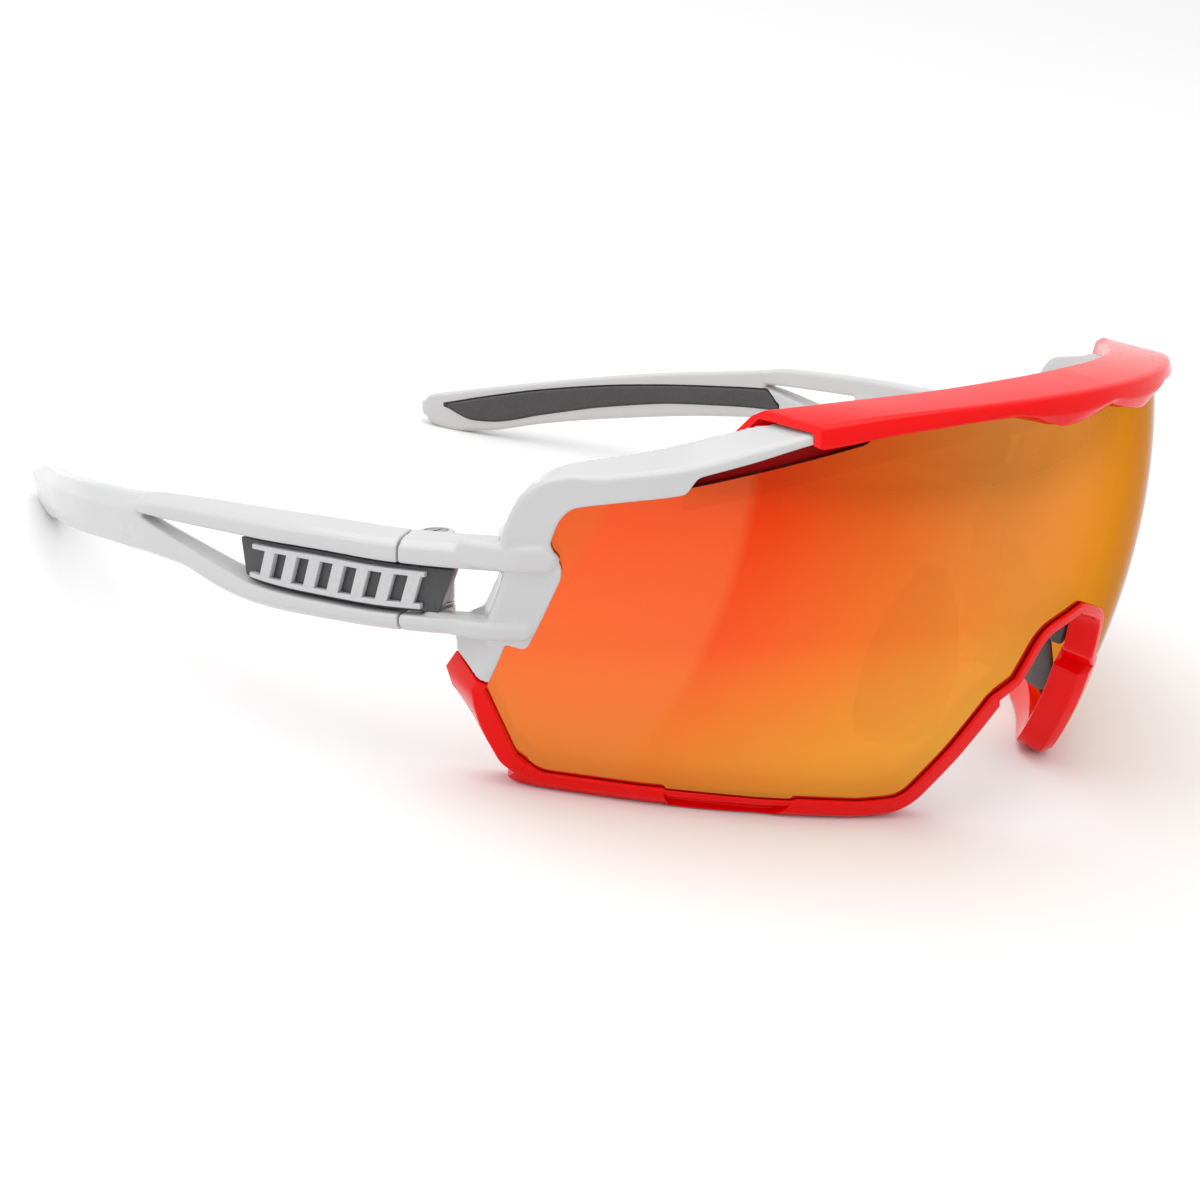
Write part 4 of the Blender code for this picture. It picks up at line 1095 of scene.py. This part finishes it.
def paddle():
    """Solid rear end of a temple, from the window's rear corner to the tip."""
    rings = []
    for y in spread(PADDLE_START, TIP_END, 60):
        thick = curve(TEMPLE_THICK, y)
        high = curve(PADDLE_TOP, y)
        low = curve(PADDLE_LOW, y)
        tall = high - low
        section = (
            (0.35, low + 0.30 * tall), (0.0, low + 0.74 * tall), (1.3, high - 0.03 * tall),
            (thick - 0.4, high), (thick, high - 0.06 * tall), (thick, low + 0.08 * tall),
            (thick - 0.5, low), (1.2, low + 0.04 * tall),
        )
        rings.append(eased(arm_ring(y, section), 0.25, 2))
    return loft(domed(rings, TIP_ROUNDING, 5))


def temple_web():
    """Thin wall behind the badge plate, which carries the plate and the hinge knuckle."""
    rings = []
    outer = PLATE_INSET + PLATE_THICK + GAP
    for y in spread(PARTING_Y + GAP, PLATE_Y[1] + 1.2, 24):
        inner = curve(TEMPLE_THICK, y) + 0.1
        low = curve(LOWER_BAR_TOP, y) - WEB_LAP
        high = curve(UPPER_BAR_LOW, y) + WEB_LAP
        if y < WEB_NECK_END:
            low, high = KNUCKLE
        rings.append(arm_ring(y, ((outer, low), (outer, high), (inner, high), (inner, low))))
    return loft(rings)


def knuckle_link():
    """Short block that joins the knuckle to the web behind the badge plate."""
    low, high = KNUCKLE
    return loft([[Vector((x, y, z)) for x, y in KNUCKLE_LINK] for z in (low + 0.05, high - 0.05)])


def grip_rings(margin, proud):
    """Sections of a temple's rubber grip, or of its pocket when there is a margin."""
    rings = []
    for y in spread(GRIP_Y[0] - margin, GRIP_Y[1] + margin, 70):
        face = curve(TEMPLE_THICK, y)
        high = curve(GRIP_TOP, y) + margin
        low = curve(GRIP_LOW, y) - margin
        root, top = face - GRIP_DEPTH - margin, face + proud
        section = ((root, low), (root, high), (top, high - GRIP_EDGE), (top, low + GRIP_EDGE))
        rings.append(arm_ring(y, section))
    return rings


def temple(name, side):
    rooms = [(EAR_RADIUS + GAP, *room) for room in EAR_ROOM]
    shells = [
        without(arm_bar(UPPER_BAR, PARTING_Y + GAP, UPPER_BAR_Y[1], 60), hinge_cylinder(*rooms[1])),
        without(arm_bar(LOWER_BAR, PARTING_Y + GAP, LOWER_BAR_Y[1], 60), hinge_cylinder(*rooms[0])),
        paddle(),
        without(temple_web(), *[hinge_cylinder(*room) for room in rooms]),
        hinge_cylinder(KNUCKLE_RADIUS, *KNUCKLE),
        knuckle_link(),
    ]
    pocket = loft(grip_rings(POCKET_MARGIN, POCKET_PROUD))
    skin = without(moulded(joined(*shells), passes=3), hinge_cylinder(BORE_RADIUS, *BORE_Z), pocket)
    piece(f"temple_{name}", "moulding", skin, [WHITE], f"{name}_temple", 60, side)


def temple_grip(name, side):
    grip = solid(grip_rings(0.0, GRIP_PROUD), GRIP_CORNER, GRIP_CORNER)
    piece(f"temple_grip_{name}", "pad", grip, [RUBBER], f"{name}_temple", 50, side)


def plate_height(y, level):
    """Height on the badge plate at one y, from 0 on its lower edge to 1 on its upper one."""
    low = curve(LOWER_BAR_TOP, y) + GAP
    high = curve(UPPER_BAR_LOW, y) - GAP
    return low + level * (high - low)


def badge_plate(name, side):
    back = PLATE_INSET + PLATE_THICK
    rings = []
    for t in spread(0, 1, 30):
        ring = []
        for inset, level in ((PLATE_INSET, 0), (PLATE_INSET, 1), (back, 1), (back, 0)):
            start = PLATE_Y[0] - PLATE_SLANT[0] * (level - 0.5)
            end = PLATE_Y[1] + PLATE_SLANT[1] * (level - 0.5)
            y = start + (end - start) * t
            ring.append(arm_point(y, inset, plate_height(y, level)))
        rings.append(ring)
    plate = solid(rings, 0.2, 0.2)
    piece(f"badge_plate_{name}", "insert", plate, [CHARCOAL], f"{name}_temple", 50, side)


def relief_bar(start, end, low, high, slant=0.0):
    """A raised bar on the badge plate, between two levels, leaning forwards by a slant."""
    rings = []
    for t in spread(0, 1, 12):
        ring = []
        for inset, level in ((RELIEF_FACE, 0), (RELIEF_FACE, 1), (RELIEF_ROOT, 1), (RELIEF_ROOT, 0)):
            y = start + (end - start) * t - slant * level
            ring.append(arm_point(y, inset, plate_height(y, low + (high - low) * level)))
        rings.append(ring)
    return solid(rings, 0.15, 0.12)


def badge_relief(name, side):
    """Generic raised relief: two rails along the plate's edges, and slanted slats between them."""
    bars = [relief_bar(*rail_place) for rail_place in RAILS]
    for i in range(SLATS):
        start = FIRST_SLAT + SLAT_PITCH * i
        bars.append(relief_bar(start, start + SLAT_WIDTH, *SLAT_LEVELS, SLAT_SLANT))
    relief = joined(*bars)
    piece(f"badge_relief_{name}", "bars", relief, [SILVER], f"{name}_temple", 50, side)


# ---- fasteners

def driver_slot():
    """Cutter for a straight slot across the hinge screw's head."""
    reach, half = HEAD_RADIUS + 1, DRIVER_SLOT_HALF_WIDTH
    corners = ((-reach, -half), (reach, -half), (reach, half), (-reach, half))
    heights = (HEAD_Z[1] - DRIVER_SLOT_DEPTH, HEAD_Z[1] + 1)
    return loft([[Vector((HINGE_X + x, HINGE_Y + y, z)) for x, y in corners] for z in heights])


def hinge_fasteners(name, side):
    shank = hinge_disc(SCREW_RADIUS, LOWER_EAR[0] + 0.2, HEAD_Z[0] + 0.1)
    screw = joined(without(hinge_disc(HEAD_RADIUS, *HEAD_Z), driver_slot()), shank)
    piece(f"hinge_screw_{name}", "slotted", screw, [STEEL], "front", 40, side)
    hole = hinge_cylinder(BORE_RADIUS, WASHER[0] - 1, WASHER[1] + 1)
    ring = without(hinge_disc(EAR_RADIUS - 0.1, *WASHER, 0.08), hole)
    piece(f"hinge_washer_{name}", "ring", ring, [STEEL], "front", 40, side)


def cover_screw(name, side):
    """Small domed screw that enters the cover's rear wall."""
    x = COVER_SCREW_X
    back = curve(COVER_REAR, x)
    z = curve(BROW_REAR, x) - COVER_SCREW_DROP
    start = brow_point(x, back, z)
    forwards = (brow_point(x, back + 1, z) - start).normalized()
    turn = Vector((0, 0, 1)).rotation_difference(forwards).to_matrix()
    rings = []
    for r, reach in COVER_SCREW_PROFILE:
        rings.append([start + turn @ Vector((r * math.cos(t), r * math.sin(t), reach)) for t in turns(32)])
    piece(f"cover_screw_{name}", "domed", loft(rings), [STEEL], "front", 40, side)


# ---- camera, light and floor

def camera():
    """The photograph's view: from the wearer's right and front, a little above, in the worn frame."""
    turn, rise = math.radians(CAMERA_TURN), math.radians(CAMERA_RISE)
    back = Vector((-math.sin(turn) * math.cos(rise), -math.cos(turn) * math.cos(rise), math.sin(rise)))
    right = Vector((math.cos(turn), -math.sin(turn), 0))
    up = back.cross(right)
    place = (right * CAMERA_PLACE[0] + up * CAMERA_PLACE[1] + back * CAMERA_PLACE[2]) * MM
    axes = Matrix((right, up, back)).transposed().to_4x4()
    data = bpy.data.cameras.new("camera")
    data.sensor_width = 36
    data.lens = CAMERA_LENS
    data.clip_start = 0.01
    made = in_scene("camera", data)
    made.matrix_world = WORN @ Matrix.Translation(place) @ axes
    bpy.context.scene.camera = made


def area_light(name, place, target, size, power):
    data = bpy.data.lights.new(name, "AREA")
    data.shape = "RECTANGLE"
    data.size = size
    data.size_y = size
    data.energy = power
    made = in_scene(name, data)
    made.location = place
    made.rotation_euler = (Vector(target) - Vector(place)).to_track_quat("-Z", "Y").to_euler()


def studio():
    """Bright from above and dim at the horizon, so that upright faces stand out."""
    world = bpy.data.worlds.new("studio")
    bpy.context.scene.world = world
    world.use_nodes = True
    nodes, links = world.node_tree.nodes, world.node_tree.links
    sky = nodes.new("ShaderNodeTexCoord")
    split = nodes.new("ShaderNodeSeparateXYZ")
    ramp = nodes.new("ShaderNodeValToRGB")
    points = ramp.color_ramp.elements
    for point, place, level in zip(points, (0.0, 0.75), (0.80, 1)):
        point.position = place
        point.color = (level, level, level, 1)
    links.new(sky.outputs["Generated"], split.inputs[0])
    links.new(split.outputs["Z"], ramp.inputs["Fac"])
    links.new(ramp.outputs["Color"], nodes["Background"].inputs["Color"])
    nodes["Background"].inputs["Strength"].default_value = 1.0
    area_light("top_softbox", (-0.10, 0.10, 0.75), (0, 0, 0), 0.8, 3.0)
    area_light("side_softbox", (-0.7, 0.35, 0.5), (0, 0, 0.02), 0.5, 0.7)
    bpy.context.scene.view_settings.view_transform = "Standard"
    floor = bmesh.new()
    corners = ((-1, -1), (1, -1), (1, 1), (-1, 1))
    floor.faces.new([floor.verts.new((x * FLOOR_REACH, y * FLOOR_REACH, FLOOR_LEVEL)) for x, y in corners])
    data = mesh_data("floor", floor)
    look = Look("floor_paper", (0.84, 0.84, 0.84), Roughness=0.9)
    look.colours(look.noise(6, 2), (0.3, (0.83, 0.83, 0.83)), (0.7, (0.85, 0.85, 0.85)))
    data.materials.append(look.material)
    in_scene("floor", data)


def build():
    for make in (shield_lens, lower_rim, front_frame, brow_cover, brow_liner, nose_carrier):
        make()
    for name, side in SIDES.items():
        for make in (nose_pad, pad_wire, temple, temple_grip, badge_plate, badge_relief):
            make(name, side)
        hinge_fasteners(name, side)
        cover_screw(name, side)
    camera()
    studio()


build()
